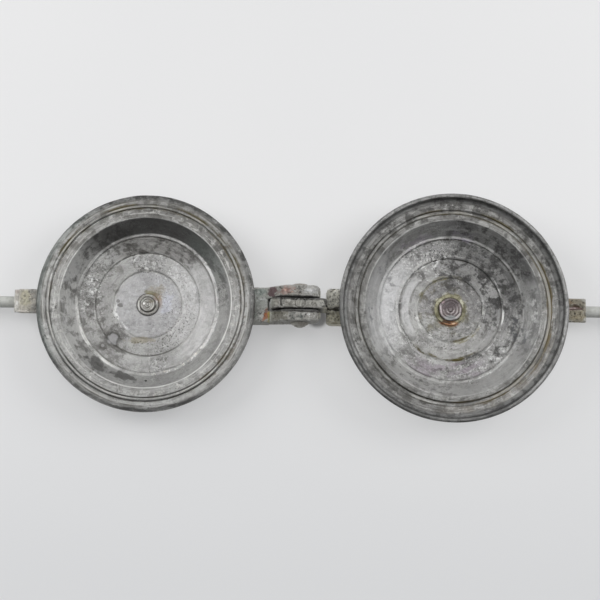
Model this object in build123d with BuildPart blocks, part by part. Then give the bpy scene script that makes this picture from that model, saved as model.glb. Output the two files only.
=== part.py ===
from build123d import *
from math import asin, cos, degrees, radians, sin
import os

# Round pie iron, lying open on a table with both dishes facing up.
# Half A, on the -X side, has the hinge fork and the latch bail. Half B, on the +X side, has the
# hinge leaf and the lipped dish that closes over dish A. Each half is a pressed aluminium dish
# riveted to a cast arm, with a steel rod in the arm's socket and a turned wooden grip on the rod.
# Millimetres, +Z up. The origin is on the table, in the middle of the whole object's box.
# Along a half, u is the distance from the hinge pin towards that half's own grip.

# Pressed dishes
sheet = 1.6             # thickness of the aluminium
rim_radius = 60.3       # dish A over its turned-down edge
flange_width = 13.1     # dish A, outer edge in to the top of the wall
edge_roll = 2.8         # outer radius of dish A's turned-down edge
edge_drop = 3.2         # how far that edge hangs below the flange
mouth_step = 1.8        # how much wider dish B's mouth is than dish A's
wall_run = 7.6          # how far the wall slopes inwards
wall_drop = 9.9         # how far it drops
dish_depth = 12.8       # flange down to the seat in the middle of the floor
floor_fall = 1.1        # slope of the floor's outer band
ring_step = 0.8         # step between the floor's two bands
step_run = 0.8          # how wide each step of the floor is
wall_round = 0.6        # rounding of the wall's pressed corners
foot_ring = 0.8         # raised ring in from the foot of the wall
foot_ring_sink = 0.1    # middle of that ring's section down from the foot
seat_radius_a = 18.9    # flat seat in the middle of dish A
seat_radius_b = 18.0
lip_height = 4.0        # dish B's lip above its flange
lip_clear = 0.8         # dish A's rim to the bore of that lip
lip_round = 1.2         # radius of the lip's rounded top
lip_fillet = 2.2        # inner radius where the flange turns up into the lip
bead_inset = 6.85       # rim of dish A in to the middle of its bead
bead_radius = 0.95
bead_sink = 0.24        # middle of the bead's section down from the flange
groove_radius = 0.4
channel_clear = 0.25    # dish A's bead to dish B's channel
closed_gap = 0.5        # between the two flanges when shut

# Cast arms
belly = 7.0             # thickness of the arm under the seat
pad_radius = 16.0       # round pad that the dish and the table bear on
pad_proud = 1.0         # how far the pad stands below the arm
arm_clear = 1.2         # dish to arm, away from the pad
socket_width = 13.8
socket_below = 6.5      # rod axis down to the underside of the socket
socket_show = 9.5       # length of socket beyond dish B's lip
lip_over_arm = 0.9      # dish B's lip to arm A when shut
cast_round = 1.2        # rounding of the castings' edges
dip_round = 4.0         # rounding where the arm dips under the wall
pad_round = 6.0         # and where it meets the pad
belly_round = 8.0       # and along its underside
collar_length = 3.2     # stepped end of socket A
collar_step = 0.6       # how much lower that end is than the rest
collar_set_in = 0.4     # how much narrower it is, each side
slot_width = 2.4        # shallow slot along the top of socket B
slot_depth = 1.0
slot_offset = 1.6       # how far it stands off the rod's axis

# Hinge
hinge_clear = 21.5      # pin axis to dish B's lip
fork_width = 19.8       # over the two cheeks
leaf_width = 5.8
side_gap = 0.4          # leaf to each cheek
eye_half_height = 8.5
eye_end = 11.3          # pin axis to the round end of the cheeks
eye_corner = 6.5
leaf_tail = 16.3        # pin axis to the far end of the leaf
leaf_corner = 5.5
tail_gap = 0.6          # leaf's tail to lug A
eye_gap = 3.9           # cheeks' ends to lug B
lug_length = 9.0
cheek_root_inset = 2.2  # foot of the cheeks' slope, in from dish A's rim
neck_round = 4.0        # underside of the cheeks and the leaf, where they meet their lugs
notch_gap = 1.9         # leaf's tail to the notch in lug A
pin_radius = 3.0
press_fit = 0.03        # radial clearance of what stands still in its hole
running_fit = 0.08      # radial clearance of what turns in its hole
pin_head_radius = 4.95
pin_head_height = 3.0
pin_head_edge = 0.6     # straight edge of the head, under its dome
pin_tail_radius = 3.7
pin_tail_height = 1.6
pin_tail_edge = 0.5
mark_radius = 2.8       # round casting mark on top of the leaf
mark_width = 0.4
mark_depth = 0.3

# Rivets through the dishes
rivet_radius = 2.5
washer_thickness = 1.2
washer_radius_a = 5.85
washer_radius_b = 8.9
head_radius_a = 4.1
head_radius_b = 6.5
head_height = 1.6
head_round = 0.8        # rounded edge of the head
burr_radius = 5.2
burr_thickness = 1.2
rivet_tail_radius = 3.9
rivet_tail_height = 1.3
rivet_tail_flat = 2.2   # radius of the flat that hammering left on the tail
recess_radius = 7.0
recess_spare = 0.6      # rivet tail to the table

# Handles
rod_radius = 3.175
rod_free = 100.0        # bare rod between the socket and the ferrule
rod_pin_radius = 1.5
rod_pin_inset = 6.5     # rod pin to the end of the socket
rod_pin_chamfer = 0.3
rod_chamfer = 0.4
rod_stop = 2.0          # rod's inner end to the dip under dish B
grip_length = 100.0
grip_gap = 1.3          # between the two grips when shut
grip_waist = 8.7
grip_swell = 9.5
swell_part = 0.25       # where the swell and the waist come, as parts of the grip's length
waist_part = 0.5
tenon_radius = 6.7
ferrule_length = 12.0
ferrule_wall = 0.8
ferrule_round = 0.6
butt_radius = 7.0       # end of the grip's dome
butt_washer_radius = 6.2
butt_washer_thickness = 1.2
rod_tenon_radius = 2.4
rod_peen_radius = 3.9
rod_peen_height = 1.8

# Latch bail
wire_radius = 1.2
bail_pivot_inset = 12.0  # pivot to the grip's butt
bail_side_gap = 0.45     # leg of the bail to the grip
bail_over_grip = 0.3     # bail to grip B when latched
bail_end_bend = 1.65
bail_bight_bend = 5.0
bail_pin_depth = 4.2     # how far each end of the bail reaches into the grip

# Heights above the table
parting_z = belly + sheet + dish_depth
hinge_z = parting_z + closed_gap / 2
seat_z = belly
floor_z = seat_z + sheet
grip_radius = (hinge_z - grip_gap / 2) / 2
rod_z = grip_radius
arm_top_z = 2 * hinge_z - (parting_z + lip_height) - lip_over_arm
arm_low_z = rod_z - socket_below

# Radii of the dishes
lip_bore = rim_radius + lip_clear
lip_radius = lip_bore + 2 * lip_round
mouth_a = rim_radius - flange_width
mouth_b = mouth_a + mouth_step
bead_circle = rim_radius - bead_inset

# Distances along a half
dish_u = hinge_clear + lip_radius
socket_u = dish_u + lip_radius + socket_show
ferrule_u = socket_u + rod_free
butt_u = ferrule_u + grip_length
rod_end_u = butt_u + butt_washer_thickness + rod_peen_height
rod_depth = socket_show + lip_radius - mouth_b - rod_stop
lug_a_u = leaf_tail + tail_gap
lug_b_u = eye_end + eye_gap
cheek_root_u = hinge_clear - cheek_root_inset

# Latch bail, and where the hinge lies for the box to be centred on the origin
pivot_u = butt_u - bail_pivot_inset
bail_length = 2 * (hinge_z - rod_z) + grip_radius + bail_over_grip + wire_radius
bail_angle = degrees(asin((rod_z - wire_radius) / bail_length))
bail_end_u = pivot_u + bail_length * cos(radians(bail_angle)) + wire_radius
hinge_x = (bail_end_u - rod_end_u) / 2

cheek_width = (fork_width - leaf_width) / 2 - side_gap


os.makedirs("parts", exist_ok=True)


def at(side, u):
    """World x of a place on half A (side -1) or half B (side +1)."""
    return hinge_x + side * u


def finish(piece, name):
    """Names a finished piece and writes it."""
    piece.part.label = name
    export_step(piece.part, f"parts/{name}.step")
    print(name, len(piece.part.solids()), round(piece.part.volume), "mm3")


def upright(side, u):
    """Upright plane through a place on a half, with x along the world's and y upwards."""
    return Plane(origin=(at(side, u), 0, 0), x_dir=(1, 0, 0), z_dir=(0, -1, 0))


def outward(side, u=0.0, z=0.0):
    """Upright plane whose x runs from the hinge towards the half's own grip."""
    return Plane(origin=(at(side, u), 0, z), x_dir=(side, 0, 0), z_dir=(0, -side, 0))


def outward_axis(side, z):
    """Line along a half at the given height, to spin its rod and grip about."""
    return Axis((hinge_x, 0, z), (side, 0, 0))


def standing_axis(side):
    """Vertical line through the middle of a dish."""
    return Axis((at(side, dish_u), 0, 0), (0, 0, 1))


def floor_corners(seat_radius, foot_radius):
    """Corners of the stepped floor's top face, from the rivet hole out to the foot of the wall."""
    ring_radius = (seat_radius + foot_radius) / 2
    outer_z = parting_z - wall_drop
    band_z = outer_z - floor_fall
    return [
        (rivet_radius + press_fit, floor_z),
        (seat_radius, floor_z),
        (seat_radius + step_run, (floor_z + band_z - ring_step) / 2),
        (ring_radius - step_run / 2, band_z - ring_step),
        (ring_radius + step_run / 2, band_z),
        (foot_radius, outer_z),
    ]


def pressed_dish(side, corners, raised, sunk, edge_radius, far_radius, name):
    """Spins a dish from the corners of its top face, thickened downwards by one sheet.

    The raised and sunk rings are lists of radius, height and section radius."""
    with BuildPart() as dish:
        with BuildSketch(upright(side, dish_u)) as profile:
            with BuildLine():
                Polyline(*corners)
                offset(amount=sheet, side=Side.RIGHT, kind=Kind.INTERSECTION)
            make_face()
            for bend in corners[-4:-2]:
                fillet(profile.vertices().sort_by_distance(bend)[0], wall_round)
            near_edge = profile.vertices().sort_by_distance(corners[-2])
            fillet(near_edge[0], edge_radius)
            reach = sheet if far_radius > edge_radius else -sheet
            far_corner = (corners[-2][0] + reach, corners[-2][1] - sheet)
            fillet(profile.vertices().sort_by_distance(far_corner)[0], far_radius)
            for radius, z, size in raised:
                with Locations((radius, z)):
                    Circle(size)
            for radius, z, size in sunk:
                with Locations((radius, z)):
                    Circle(size, mode=Mode.SUBTRACT)
        revolve(axis=standing_axis(side))
    finish(dish, name)


def rings_on(foot):
    """The raised ring at the foot of the wall."""
    return (foot - foot_ring, parting_z - wall_drop - foot_ring_sink, foot_ring)


# Dish A: stepped floor, sloping wall, flat flange with a raised bead, edge turned down
foot_a = mouth_a - wall_run
corners_a = floor_corners(seat_radius_a, foot_a) + [
    (mouth_a, parting_z),
    (rim_radius, parting_z),
    (rim_radius, parting_z - edge_drop),
]
raised_a = [rings_on(foot_a), (bead_circle, parting_z - bead_sink, bead_radius)]
sunk_a = [
    (bead_circle + way * (bead_radius + groove_radius / 2), parting_z, groove_radius)
    for way in (-1, 1)
]
pressed_dish(-1, corners_a, raised_a, sunk_a, edge_roll, edge_roll - sheet, "dish_a")

# Dish B: the same pressing with a channel for dish A's bead, and a lip that closes round its rim
foot_b = mouth_b - wall_run
corners_b = floor_corners(seat_radius_b, foot_b) + [
    (mouth_b, parting_z),
    (lip_bore, parting_z),
    (lip_bore, parting_z + lip_height - lip_round),
]
channel_radius = bead_radius + channel_clear
raised_b = [
    rings_on(foot_b),
    (lip_bore + lip_round, parting_z + lip_height - lip_round, lip_round),
    (bead_circle, parting_z - sheet / 2 - channel_clear, channel_radius),
]
sunk_b = [(bead_circle, parting_z + bead_sink, channel_radius)]
pressed_dish(1, corners_b, raised_b, sunk_b, lip_fillet, lip_fillet + sheet, "dish_b")


def arm_outline(side, mouth, foot, lug_u):
    """Side view of an arm without its hinge: lug, dip under the dish, belly and rod socket."""
    under_wall_z = parting_z - wall_drop - sheet - floor_fall - arm_clear
    under_floor_z = seat_z - arm_clear / 2
    corners = [
        (lug_u, arm_low_z),
        (lug_u, arm_top_z),
        (dish_u - mouth, arm_top_z),
        (dish_u - foot - arm_clear, under_wall_z),
        (dish_u - pad_radius, under_floor_z),
        (dish_u + pad_radius, under_floor_z),
        (dish_u + foot + arm_clear, under_wall_z),
        (dish_u + mouth, arm_top_z),
        (socket_u, arm_top_z),
        (socket_u, arm_low_z),
        (dish_u + mouth, arm_low_z),
        (dish_u + foot - 2 * pad_proud, pad_proud),
        (dish_u - foot + 2 * pad_proud, pad_proud),
        (dish_u - mouth, arm_low_z),
    ]
    with BuildLine() as outline:
        FilletPolyline(
            *[(side * u, z) for u, z in corners],
            radius=[
                0, 0, 0, dip_round, pad_round, pad_round, dip_round,
                0, 0, 0, belly_round, belly_round, belly_round, belly_round,
            ],
            close=True,
        )
    return outline.line


def arm_plan(side, lug_u):
    """Plan of an arm: straight at the socket, a round pad under the dish, wider at the lug."""
    with BuildSketch() as plan:
        with BuildLine():
            Polyline(
                (at(side, lug_u), fork_width / 2),
                (at(side, lug_u + lug_length), fork_width / 2),
                (at(side, lug_u + 2 * lug_length), socket_width / 2),
                (at(side, socket_u), socket_width / 2),
                (at(side, socket_u), -socket_width / 2),
                (at(side, lug_u + 2 * lug_length), -socket_width / 2),
                (at(side, lug_u + lug_length), -fork_width / 2),
                (at(side, lug_u), -fork_width / 2),
                close=True,
            )
        make_face()
        with Locations((at(side, dish_u), 0)):
            Circle(pad_radius)
    return plan.sketch


def hinge_plate(side, end_u, crest_u, root_u, lug_u, corner, width, y):
    """A cheek or the leaf: a rounded bar round the pin, joined to its lug.

    Its top is level as far as crest_u and comes down to the lug's top at root_u."""
    with BuildPart() as plate:
        with BuildSketch(Plane(origin=(hinge_x, y, 0), x_dir=(1, 0, 0), z_dir=(0, -1, 0))):
            with BuildLine():
                FilletPolyline(
                    (-side * end_u, hinge_z - eye_half_height),
                    (-side * end_u, hinge_z + eye_half_height),
                    (side * crest_u, hinge_z + eye_half_height),
                    (side * root_u, arm_top_z),
                    (side * (lug_u + lug_length), arm_top_z - cast_round),
                    (side * (lug_u + lug_length), arm_low_z + cast_round),
                    (side * (lug_u - cast_round), arm_low_z + 2 * cast_round),
                    radius=[corner, corner, corner, *3 * [cast_round], neck_round],
                    close=True,
                )
            make_face()
        extrude(amount=width / 2, both=True)
        fillet(plate.faces().filter_by(Axis.Y).edges(), cast_round)
    return plate.part


def cast_arm(side, mouth, foot, lug_u, plates, pin_bore):
    """An arm cast in one piece with its hinge plates, pad and rod socket, and its bored holes."""
    outline = arm_outline(side, mouth, foot, lug_u)
    plan = arm_plan(side, lug_u)
    with BuildPart() as arm:
        with BuildSketch(upright(side, 0)):
            with BuildLine():
                add(outline)
            make_face()
        extrude(amount=fork_width, both=True)
        with BuildSketch():
            add(plan)
        extrude(amount=arm_top_z, mode=Mode.INTERSECT)
        top = arm.faces().filter_by(Axis.Z).group_by(Axis.Z)[-1]
        dips = [at(side, dish_u - mouth), at(side, dish_u + mouth)]
        edges = top.edges().filter_by(
            lambda edge: min(abs(edge.center().X - x) for x in dips) > cast_round
        )
        fillet(edges, cast_round)
        with Locations((at(side, dish_u), 0, 0)):
            Cylinder(pad_radius, seat_z, align=(Align.CENTER, Align.CENTER, Align.MIN))
            Cylinder(
                rivet_radius + press_fit, seat_z,
                align=(Align.CENTER, Align.CENTER, Align.MIN), mode=Mode.SUBTRACT,
            )
            Cylinder(
                recess_radius, recess_spare + rivet_tail_height + burr_thickness,
                align=(Align.CENTER, Align.CENTER, Align.MIN), mode=Mode.SUBTRACT,
            )
        for plate in plates:
            add(plate)
        with Locations(Location((hinge_x, 0, hinge_z), (90, 0, 0))):
            Cylinder(pin_bore, 2 * fork_width, mode=Mode.SUBTRACT)
        with Locations(Location((at(side, socket_u), 0, rod_z), (0, 90, 0))):
            Cylinder(rod_radius + press_fit, 2 * rod_depth, mode=Mode.SUBTRACT)
        with Locations(Location((at(side, socket_u - rod_pin_inset), 0, rod_z), (90, 0, 0))):
            Cylinder(rod_pin_radius + press_fit, 2 * socket_width, mode=Mode.SUBTRACT)
    return arm


# Arm A: the fork, a notch in its lug that the leaf's tail swings past, and a stepped socket end
cheek_y = (fork_width - cheek_width) / 2
cheeks = [
    hinge_plate(-1, eye_end, eye_half_height, cheek_root_u, lug_a_u, eye_corner, cheek_width, y)
    for y in (-cheek_y, cheek_y)
]
arm_a = cast_arm(-1, mouth_a, foot_a, lug_a_u, cheeks, pin_radius + press_fit)
with BuildPart() as arm_a_cut:
    add(arm_a.part)
    with Locations(Location((hinge_x, 0, hinge_z), (90, 0, 0))):
        Cylinder(leaf_tail + notch_gap, leaf_width + 2 * side_gap, mode=Mode.SUBTRACT)
    with Locations((at(-1, socket_u), 0, arm_low_z)):
        for edge in (-1, 1):
            with Locations((0, edge * socket_width / 2, 0)):
                Box(
                    2 * collar_length, 2 * collar_set_in, 2 * socket_width, mode=Mode.SUBTRACT,
                )
    with Locations((at(-1, socket_u), 0, arm_top_z)):
        Box(2 * collar_length, 2 * socket_width, 2 * collar_step, mode=Mode.SUBTRACT)
finish(arm_a_cut, "arm_a")

# Arm B: the leaf, with the round mark of its casting, and a shallow slot along its socket
leaf = hinge_plate(1, leaf_tail, lug_b_u, lug_b_u, lug_b_u, leaf_corner, leaf_width, 0)
arm_b = cast_arm(1, mouth_b, foot_b, lug_b_u, [leaf], pin_radius + running_fit)
with BuildPart() as arm_b_cut:
    add(arm_b.part)
    with BuildSketch(Plane.XY.offset(hinge_z + eye_half_height - mark_depth)):
        with Locations((hinge_x, 0)):
            Circle(mark_radius)
            Circle(mark_radius - mark_width, mode=Mode.SUBTRACT)
    extrude(amount=2 * mark_depth, mode=Mode.SUBTRACT)
    slot_length = socket_show - cast_round
    with Locations((at(1, socket_u - cast_round - slot_length / 2), slot_offset, arm_top_z)):
        Box(slot_length, slot_width, 2 * slot_depth, mode=Mode.SUBTRACT)
finish(arm_b_cut, "arm_b")

# Hinge pin: domed head under the -Y cheek, peened over the +Y cheek
with BuildPart() as hinge_pin:
    half_fork = fork_width / 2
    with BuildSketch(Plane.XY.offset(hinge_z)):
        with BuildLine():
            Polyline(
                (hinge_x, half_fork + pin_tail_height),
                (hinge_x, -half_fork - pin_head_height),
            )
            TangentArc(
                (hinge_x, -half_fork - pin_head_height),
                (hinge_x + pin_head_radius, -half_fork - pin_head_edge),
                tangent=(1, 0),
            )
            Polyline(
                (hinge_x + pin_head_radius, -half_fork - pin_head_edge),
                (hinge_x + pin_head_radius, -half_fork),
                (hinge_x + pin_radius, -half_fork),
                (hinge_x + pin_radius, half_fork),
                (hinge_x + pin_tail_radius, half_fork),
                (hinge_x + pin_tail_radius, half_fork + pin_tail_edge),
            )
            TangentArc(
                (hinge_x, half_fork + pin_tail_height),
                (hinge_x + pin_tail_radius, half_fork + pin_tail_edge),
                tangent=(1, 0),
            )
        make_face()
    revolve(axis=Axis((hinge_x, 0, hinge_z), (0, 1, 0)))
finish(hinge_pin, "hinge_pin")


def rivet_set(side, head_radius, washer_radius, steps, half):
    """The rivet through a dish and its arm, its washer under the head and the burr at its tail."""
    head_z = floor_z + washer_thickness
    tail_z = recess_spare + rivet_tail_height
    with BuildPart() as rivet:
        with BuildSketch(upright(side, dish_u)) as rivet_section:
            with BuildLine():
                Polyline(
                    (0, recess_spare),
                    (0, head_z + head_height),
                    (head_radius, head_z + head_height),
                    (head_radius, head_z),
                    (rivet_radius, head_z),
                    (rivet_radius, tail_z),
                    (rivet_tail_radius, tail_z),
                    (rivet_tail_flat, recess_spare),
                    close=True,
                )
            make_face()
            edge = (head_radius, head_z + head_height)
            fillet(rivet_section.vertices().sort_by_distance(edge)[0], head_round)
            for radius, deep in steps:
                with Locations((0, head_z + head_height)):
                    Rectangle(2 * radius, 2 * deep, mode=Mode.SUBTRACT)
        revolve(axis=standing_axis(side))
    finish(rivet, f"centre_rivet_{half}")

    with BuildPart() as washer:
        with BuildSketch(Plane.XY.offset(floor_z)):
            with Locations((at(side, dish_u), 0)):
                Circle(washer_radius)
                Circle(rivet_radius + press_fit, mode=Mode.SUBTRACT)
        extrude(amount=washer_thickness)
    finish(washer, f"rivet_washer_{half}")

    with BuildPart() as burr:
        with BuildSketch(Plane.XY.offset(tail_z)):
            with Locations((at(side, dish_u), 0)):
                Circle(burr_radius)
                Circle(rivet_radius + press_fit, mode=Mode.SUBTRACT)
        extrude(amount=burr_thickness)
    finish(burr, f"rivet_burr_{half}")


# Each head has shallow steps towards its middle, given as (radius, depth)
rivet_set(-1, head_radius_a, washer_radius_a, [(1.9, 0.4)], "a")
rivet_set(1, head_radius_b, washer_radius_b, [(2.2, 0.7), (4.4, 0.3)], "b")


def handle(side, pivot_sides, half):
    """Rod, its cross pin, and the grip with its ferrule and butt washer.

    The latch bail's ends go into the grip's butt at the given sides."""
    inner_u = socket_u - rod_depth
    washer_u = butt_u + butt_washer_thickness
    with BuildPart() as rod:
        with BuildSketch(outward(side, 0, rod_z)):
            with BuildLine():
                Polyline(
                    (rod_end_u, 0),
                    (inner_u, 0),
                    (inner_u, rod_radius - rod_chamfer),
                    (inner_u + rod_chamfer, rod_radius),
                    (butt_u, rod_radius),
                    (butt_u, rod_tenon_radius),
                    (washer_u, rod_tenon_radius),
                    (washer_u, rod_peen_radius),
                )
                TangentArc((rod_end_u, 0), (washer_u, rod_peen_radius), tangent=(0, 1))
            make_face()
        revolve(axis=outward_axis(side, rod_z))
        with Locations(Location((at(side, socket_u - rod_pin_inset), 0, rod_z), (90, 0, 0))):
            Cylinder(rod_pin_radius + press_fit, 2 * socket_width, mode=Mode.SUBTRACT)
    finish(rod, f"handle_rod_{half}")

    with BuildPart() as rod_pin:
        with Locations(Location((at(side, socket_u - rod_pin_inset), 0, rod_z), (90, 0, 0))):
            Cylinder(rod_pin_radius, socket_width)
        chamfer(rod_pin.edges().filter_by(GeomType.CIRCLE), rod_pin_chamfer)
    finish(rod_pin, f"rod_pin_{half}")

    with BuildPart() as ferrule:
        with BuildSketch(outward(side, ferrule_u, rod_z)):
            outer = tenon_radius + ferrule_wall
            with BuildLine():
                Polyline(
                    (0, rod_radius + press_fit),
                    (0, outer),
                    (ferrule_length, outer),
                    (ferrule_length, tenon_radius + press_fit),
                    (ferrule_wall, tenon_radius + press_fit),
                    (ferrule_wall, rod_radius + press_fit),
                    close=True,
                )
            make_face()
        revolve(axis=outward_axis(side, rod_z))
        front = ferrule.edges().filter_by(GeomType.CIRCLE).sort_by(SortBy.RADIUS)[-2:]
        fillet(front.sort_by(Axis.X)[0 if side > 0 else -1], ferrule_round)
    finish(ferrule, f"ferrule_{half}")

    with BuildPart() as grip:
        with BuildSketch(outward(side, ferrule_u, rod_z)):
            bore = rod_radius + 2 * press_fit
            full = grip_length - bail_pivot_inset
            with BuildLine():
                Polyline(
                    (grip_length, bore),
                    (ferrule_wall, bore),
                    (ferrule_wall, tenon_radius),
                    (ferrule_length, tenon_radius),
                    (ferrule_length, outer),
                )
                Spline(
                    (ferrule_length, outer),
                    (ferrule_length + full * swell_part, grip_swell),
                    (ferrule_length + full * waist_part, grip_waist),
                    (full, grip_radius),
                    tangents=((1, 0.2), (1, 0)),
                )
                TangentArc((full, grip_radius), (grip_length, butt_radius), tangent=(1, 0))
                Line((grip_length, butt_radius), (grip_length, bore))
            make_face()
        revolve(axis=outward_axis(side, rod_z))
        for y in pivot_sides:
            with Locations(Location((at(side, pivot_u), y * grip_radius, rod_z), (90, 0, 0))):
                Cylinder(
                    wire_radius + running_fit, 2 * (bail_pin_depth + running_fit),
                    mode=Mode.SUBTRACT,
                )
    finish(grip, f"grip_{half}")

    with BuildPart() as butt_washer:
        with BuildSketch(Plane(origin=(at(side, butt_u), 0, rod_z), z_dir=(side, 0, 0))):
            Circle(butt_washer_radius)
            Circle(rod_tenon_radius + press_fit, mode=Mode.SUBTRACT)
        extrude(amount=butt_washer_thickness)
    finish(butt_washer, f"butt_washer_{half}")


handle(-1, (-1, 1), "a")
handle(1, (), "b")

# Latch bail: a wire loop round the butt of grip A, its ends bent inwards into the wood
bail_half = grip_radius + bail_side_gap + wire_radius
bail_end_y = grip_radius - bail_pin_depth
bail_way = (-cos(radians(bail_angle)), 0, -sin(radians(bail_angle)))
bail_plane = Plane(
    origin=(at(-1, pivot_u), 0, rod_z),
    x_dir=bail_way,
    z_dir=(-bail_way[2], 0, bail_way[0]),
)
with BuildPart() as latch_bail:
    with BuildLine(bail_plane) as wire:
        FilletPolyline(
            (0, -bail_end_y),
            (0, -bail_half),
            (bail_length, -bail_half),
            (bail_length, bail_half),
            (0, bail_half),
            (0, bail_end_y),
            radius=[bail_end_bend, bail_bight_bend, bail_bight_bend, bail_end_bend],
        )
    with BuildSketch(Plane(origin=wire.wire() @ 0, z_dir=wire.wire() % 0)):
        Circle(wire_radius)
    sweep(path=wire.wire())
finish(latch_bail, "latch_bail")
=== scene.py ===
from math import atan, cos, pi, radians, sin

import bpy
from mathutils import Matrix, Vector, noise


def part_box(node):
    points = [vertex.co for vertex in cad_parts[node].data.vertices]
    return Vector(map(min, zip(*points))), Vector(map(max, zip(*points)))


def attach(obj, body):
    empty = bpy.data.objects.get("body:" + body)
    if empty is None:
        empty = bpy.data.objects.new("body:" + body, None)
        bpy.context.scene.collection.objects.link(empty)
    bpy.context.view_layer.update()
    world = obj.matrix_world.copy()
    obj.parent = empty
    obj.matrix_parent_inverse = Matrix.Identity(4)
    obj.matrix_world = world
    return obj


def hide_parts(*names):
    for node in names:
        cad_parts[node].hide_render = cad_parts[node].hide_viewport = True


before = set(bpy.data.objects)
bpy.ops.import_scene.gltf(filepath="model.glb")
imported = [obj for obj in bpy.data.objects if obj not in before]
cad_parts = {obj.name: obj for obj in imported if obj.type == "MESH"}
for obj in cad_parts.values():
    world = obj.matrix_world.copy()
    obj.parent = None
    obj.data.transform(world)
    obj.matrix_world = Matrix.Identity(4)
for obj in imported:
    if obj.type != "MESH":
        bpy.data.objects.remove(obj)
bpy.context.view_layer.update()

bl_info = {
    "name": "Open pie iron",
    "version": (1, 0, 0),
    "blender": (4, 5, 0),
    "location": "View3D > Sidebar > Pie iron",
    "description": "Adds the finished pieces of a round pie iron that lies open on a table",
    "category": "Add Mesh",
}

# Metres, +Z up. Lengths written in millimetres are multiplied by MM.
MM = 0.001
# Where pieces of the castings lie along X, in mm from the hinge pin. The sockets start, and come
# out from under the dishes, at the same distances on both sides
CHEEK_ENDS = (7.0, 12.0)
LUG_B_FRONT = (14.2, 18.5)
LUG_B_TOP = (14.0, 30.0)
SOCKETS = 131.0
SOCKETS_SEEN = 146.0
SOCKET_B_END = (153.4, 158.0)
FILE_MARK = -10.4
HINGE = (Vector(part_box("hinge_pin")[0]) + Vector(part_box("hinge_pin")[1])) / 2
HINGE.y = 0.0
MIDDLE_A = Vector(((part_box("dish_a")[0][0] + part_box("dish_a")[1][0]) / 2, 0.0, 0.0))
MIDDLE_B = Vector(((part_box("dish_b")[0][0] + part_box("dish_b")[1][0]) / 2, 0.0, 0.0))


def linear(code):
    """An sRGB hex colour as linear red, green, blue and full alpha."""
    parts = [int(code[i:i + 2], 16) / 255 for i in (1, 3, 5)]
    return tuple(c / 12.92 if c <= 0.04045 else ((c + 0.055) / 1.055) ** 2.4 for c in parts) + (1.0,)


# Settings

class PieIronSizes(bpy.types.PropertyGroup):
    dish_steps: bpy.props.IntProperty(
        name="Dish steps", description="Steps of the spin that makes a dish", default=240)
    rim_radius: bpy.props.FloatProperty(
        name="Rim radius", description="Dish A over its turned-down edge",
        default=60.3 * MM, subtype="DISTANCE", unit="LENGTH")
    lip_radius: bpy.props.FloatProperty(
        name="Lip radius", description="Dish B over its rolled lip",
        default=63.5 * MM, subtype="DISTANCE", unit="LENGTH")
    casting_grain: bpy.props.FloatProperty(
        name="Casting grain", description="Voxel that the castings are remeshed with",
        default=0.45 * MM, subtype="DISTANCE", unit="LENGTH")


class PieIronColours(bpy.types.PropertyGroup):
    table: bpy.props.FloatVectorProperty(
        name="Table", description="Colour of the plain table top",
        default=linear("#e6e6e6"), size=4, subtype="COLOR", min=0, max=1)
    aluminium: bpy.props.FloatVectorProperty(
        name="Aluminium", description="Clean part of the oxidised dishes",
        default=linear("#b6b6b3"), size=4, subtype="COLOR", min=0, max=1)
    casting: bpy.props.FloatVectorProperty(
        name="Casting", description="Bare part of the cast arms",
        default=linear("#93918b"), size=4, subtype="COLOR", min=0, max=1)
    wood: bpy.props.FloatVectorProperty(
        name="Wood", description="Early wood of the grips",
        default=linear("#a8703f"), size=4, subtype="COLOR", min=0, max=1)


# Modelling

def only(piece):
    """Makes a piece the one that operators act on."""
    bpy.ops.object.select_all(action="DESELECT")
    piece.select_set(True)
    bpy.context.view_layer.objects.active = piece


def edit(piece, *steps):
    """Runs operators, given as (operator, settings), on a piece in edit mode."""
    only(piece)
    bpy.ops.object.mode_set(mode="EDIT")
    for operator, settings in steps:
        operator(**settings)
    bpy.ops.object.mode_set(mode="OBJECT")


def pick(piece, wanted):
    """Selects the vertices whose place passes the test."""
    only(piece)
    bpy.ops.object.mode_set(mode="EDIT")
    bpy.ops.mesh.select_mode(type="VERT")
    bpy.ops.mesh.select_all(action="DESELECT")
    bpy.ops.object.mode_set(mode="OBJECT")
    for vertex in piece.data.vertices:
        vertex.select = wanted(vertex.co)


def finish_mesh(piece, angle=35.0):
    """Closes seams and poles, turns the faces outwards and smooths all but the sharp edges."""
    edit(
        piece,
        (bpy.ops.mesh.select_all, {"action": "SELECT"}),
        (bpy.ops.mesh.remove_doubles, {"threshold": 0.01 * MM}),
        (bpy.ops.mesh.delete_loose, {}),
        (bpy.ops.mesh.select_all, {"action": "SELECT"}),
        (bpy.ops.mesh.normals_make_consistent, {"inside": False}),
    )
    bpy.ops.object.shade_smooth_by_angle(angle=radians(angle))


def wire_profile(name, corners, lay):
    """A closed wire through (x, z, rounding) corners in mm, its corners bevelled.

    lay turns x and z in metres into a place."""
    bpy.ops.object.select_all(action="DESELECT")
    bpy.ops.mesh.primitive_circle_add(vertices=len(corners), fill_type="NOTHING")
    piece = bpy.context.object
    piece.name = piece.data.name = name
    places = [lay(x * MM, z * MM) for x, z, _ in corners]
    for vertex, place in zip(piece.data.vertices, places):
        vertex.co = place
    for place, (_, _, rounding) in zip(places, corners):
        if rounding:
            pick(piece, lambda co: (co - place).length < 0.001 * MM)
            edit(piece, (bpy.ops.mesh.bevel, {
                "offset": rounding * MM, "offset_type": "OFFSET", "affect": "VERTICES",
                "segments": 3 if rounding < 1 else 6, "clamp_overlap": True,
            }))
    return piece


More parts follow.
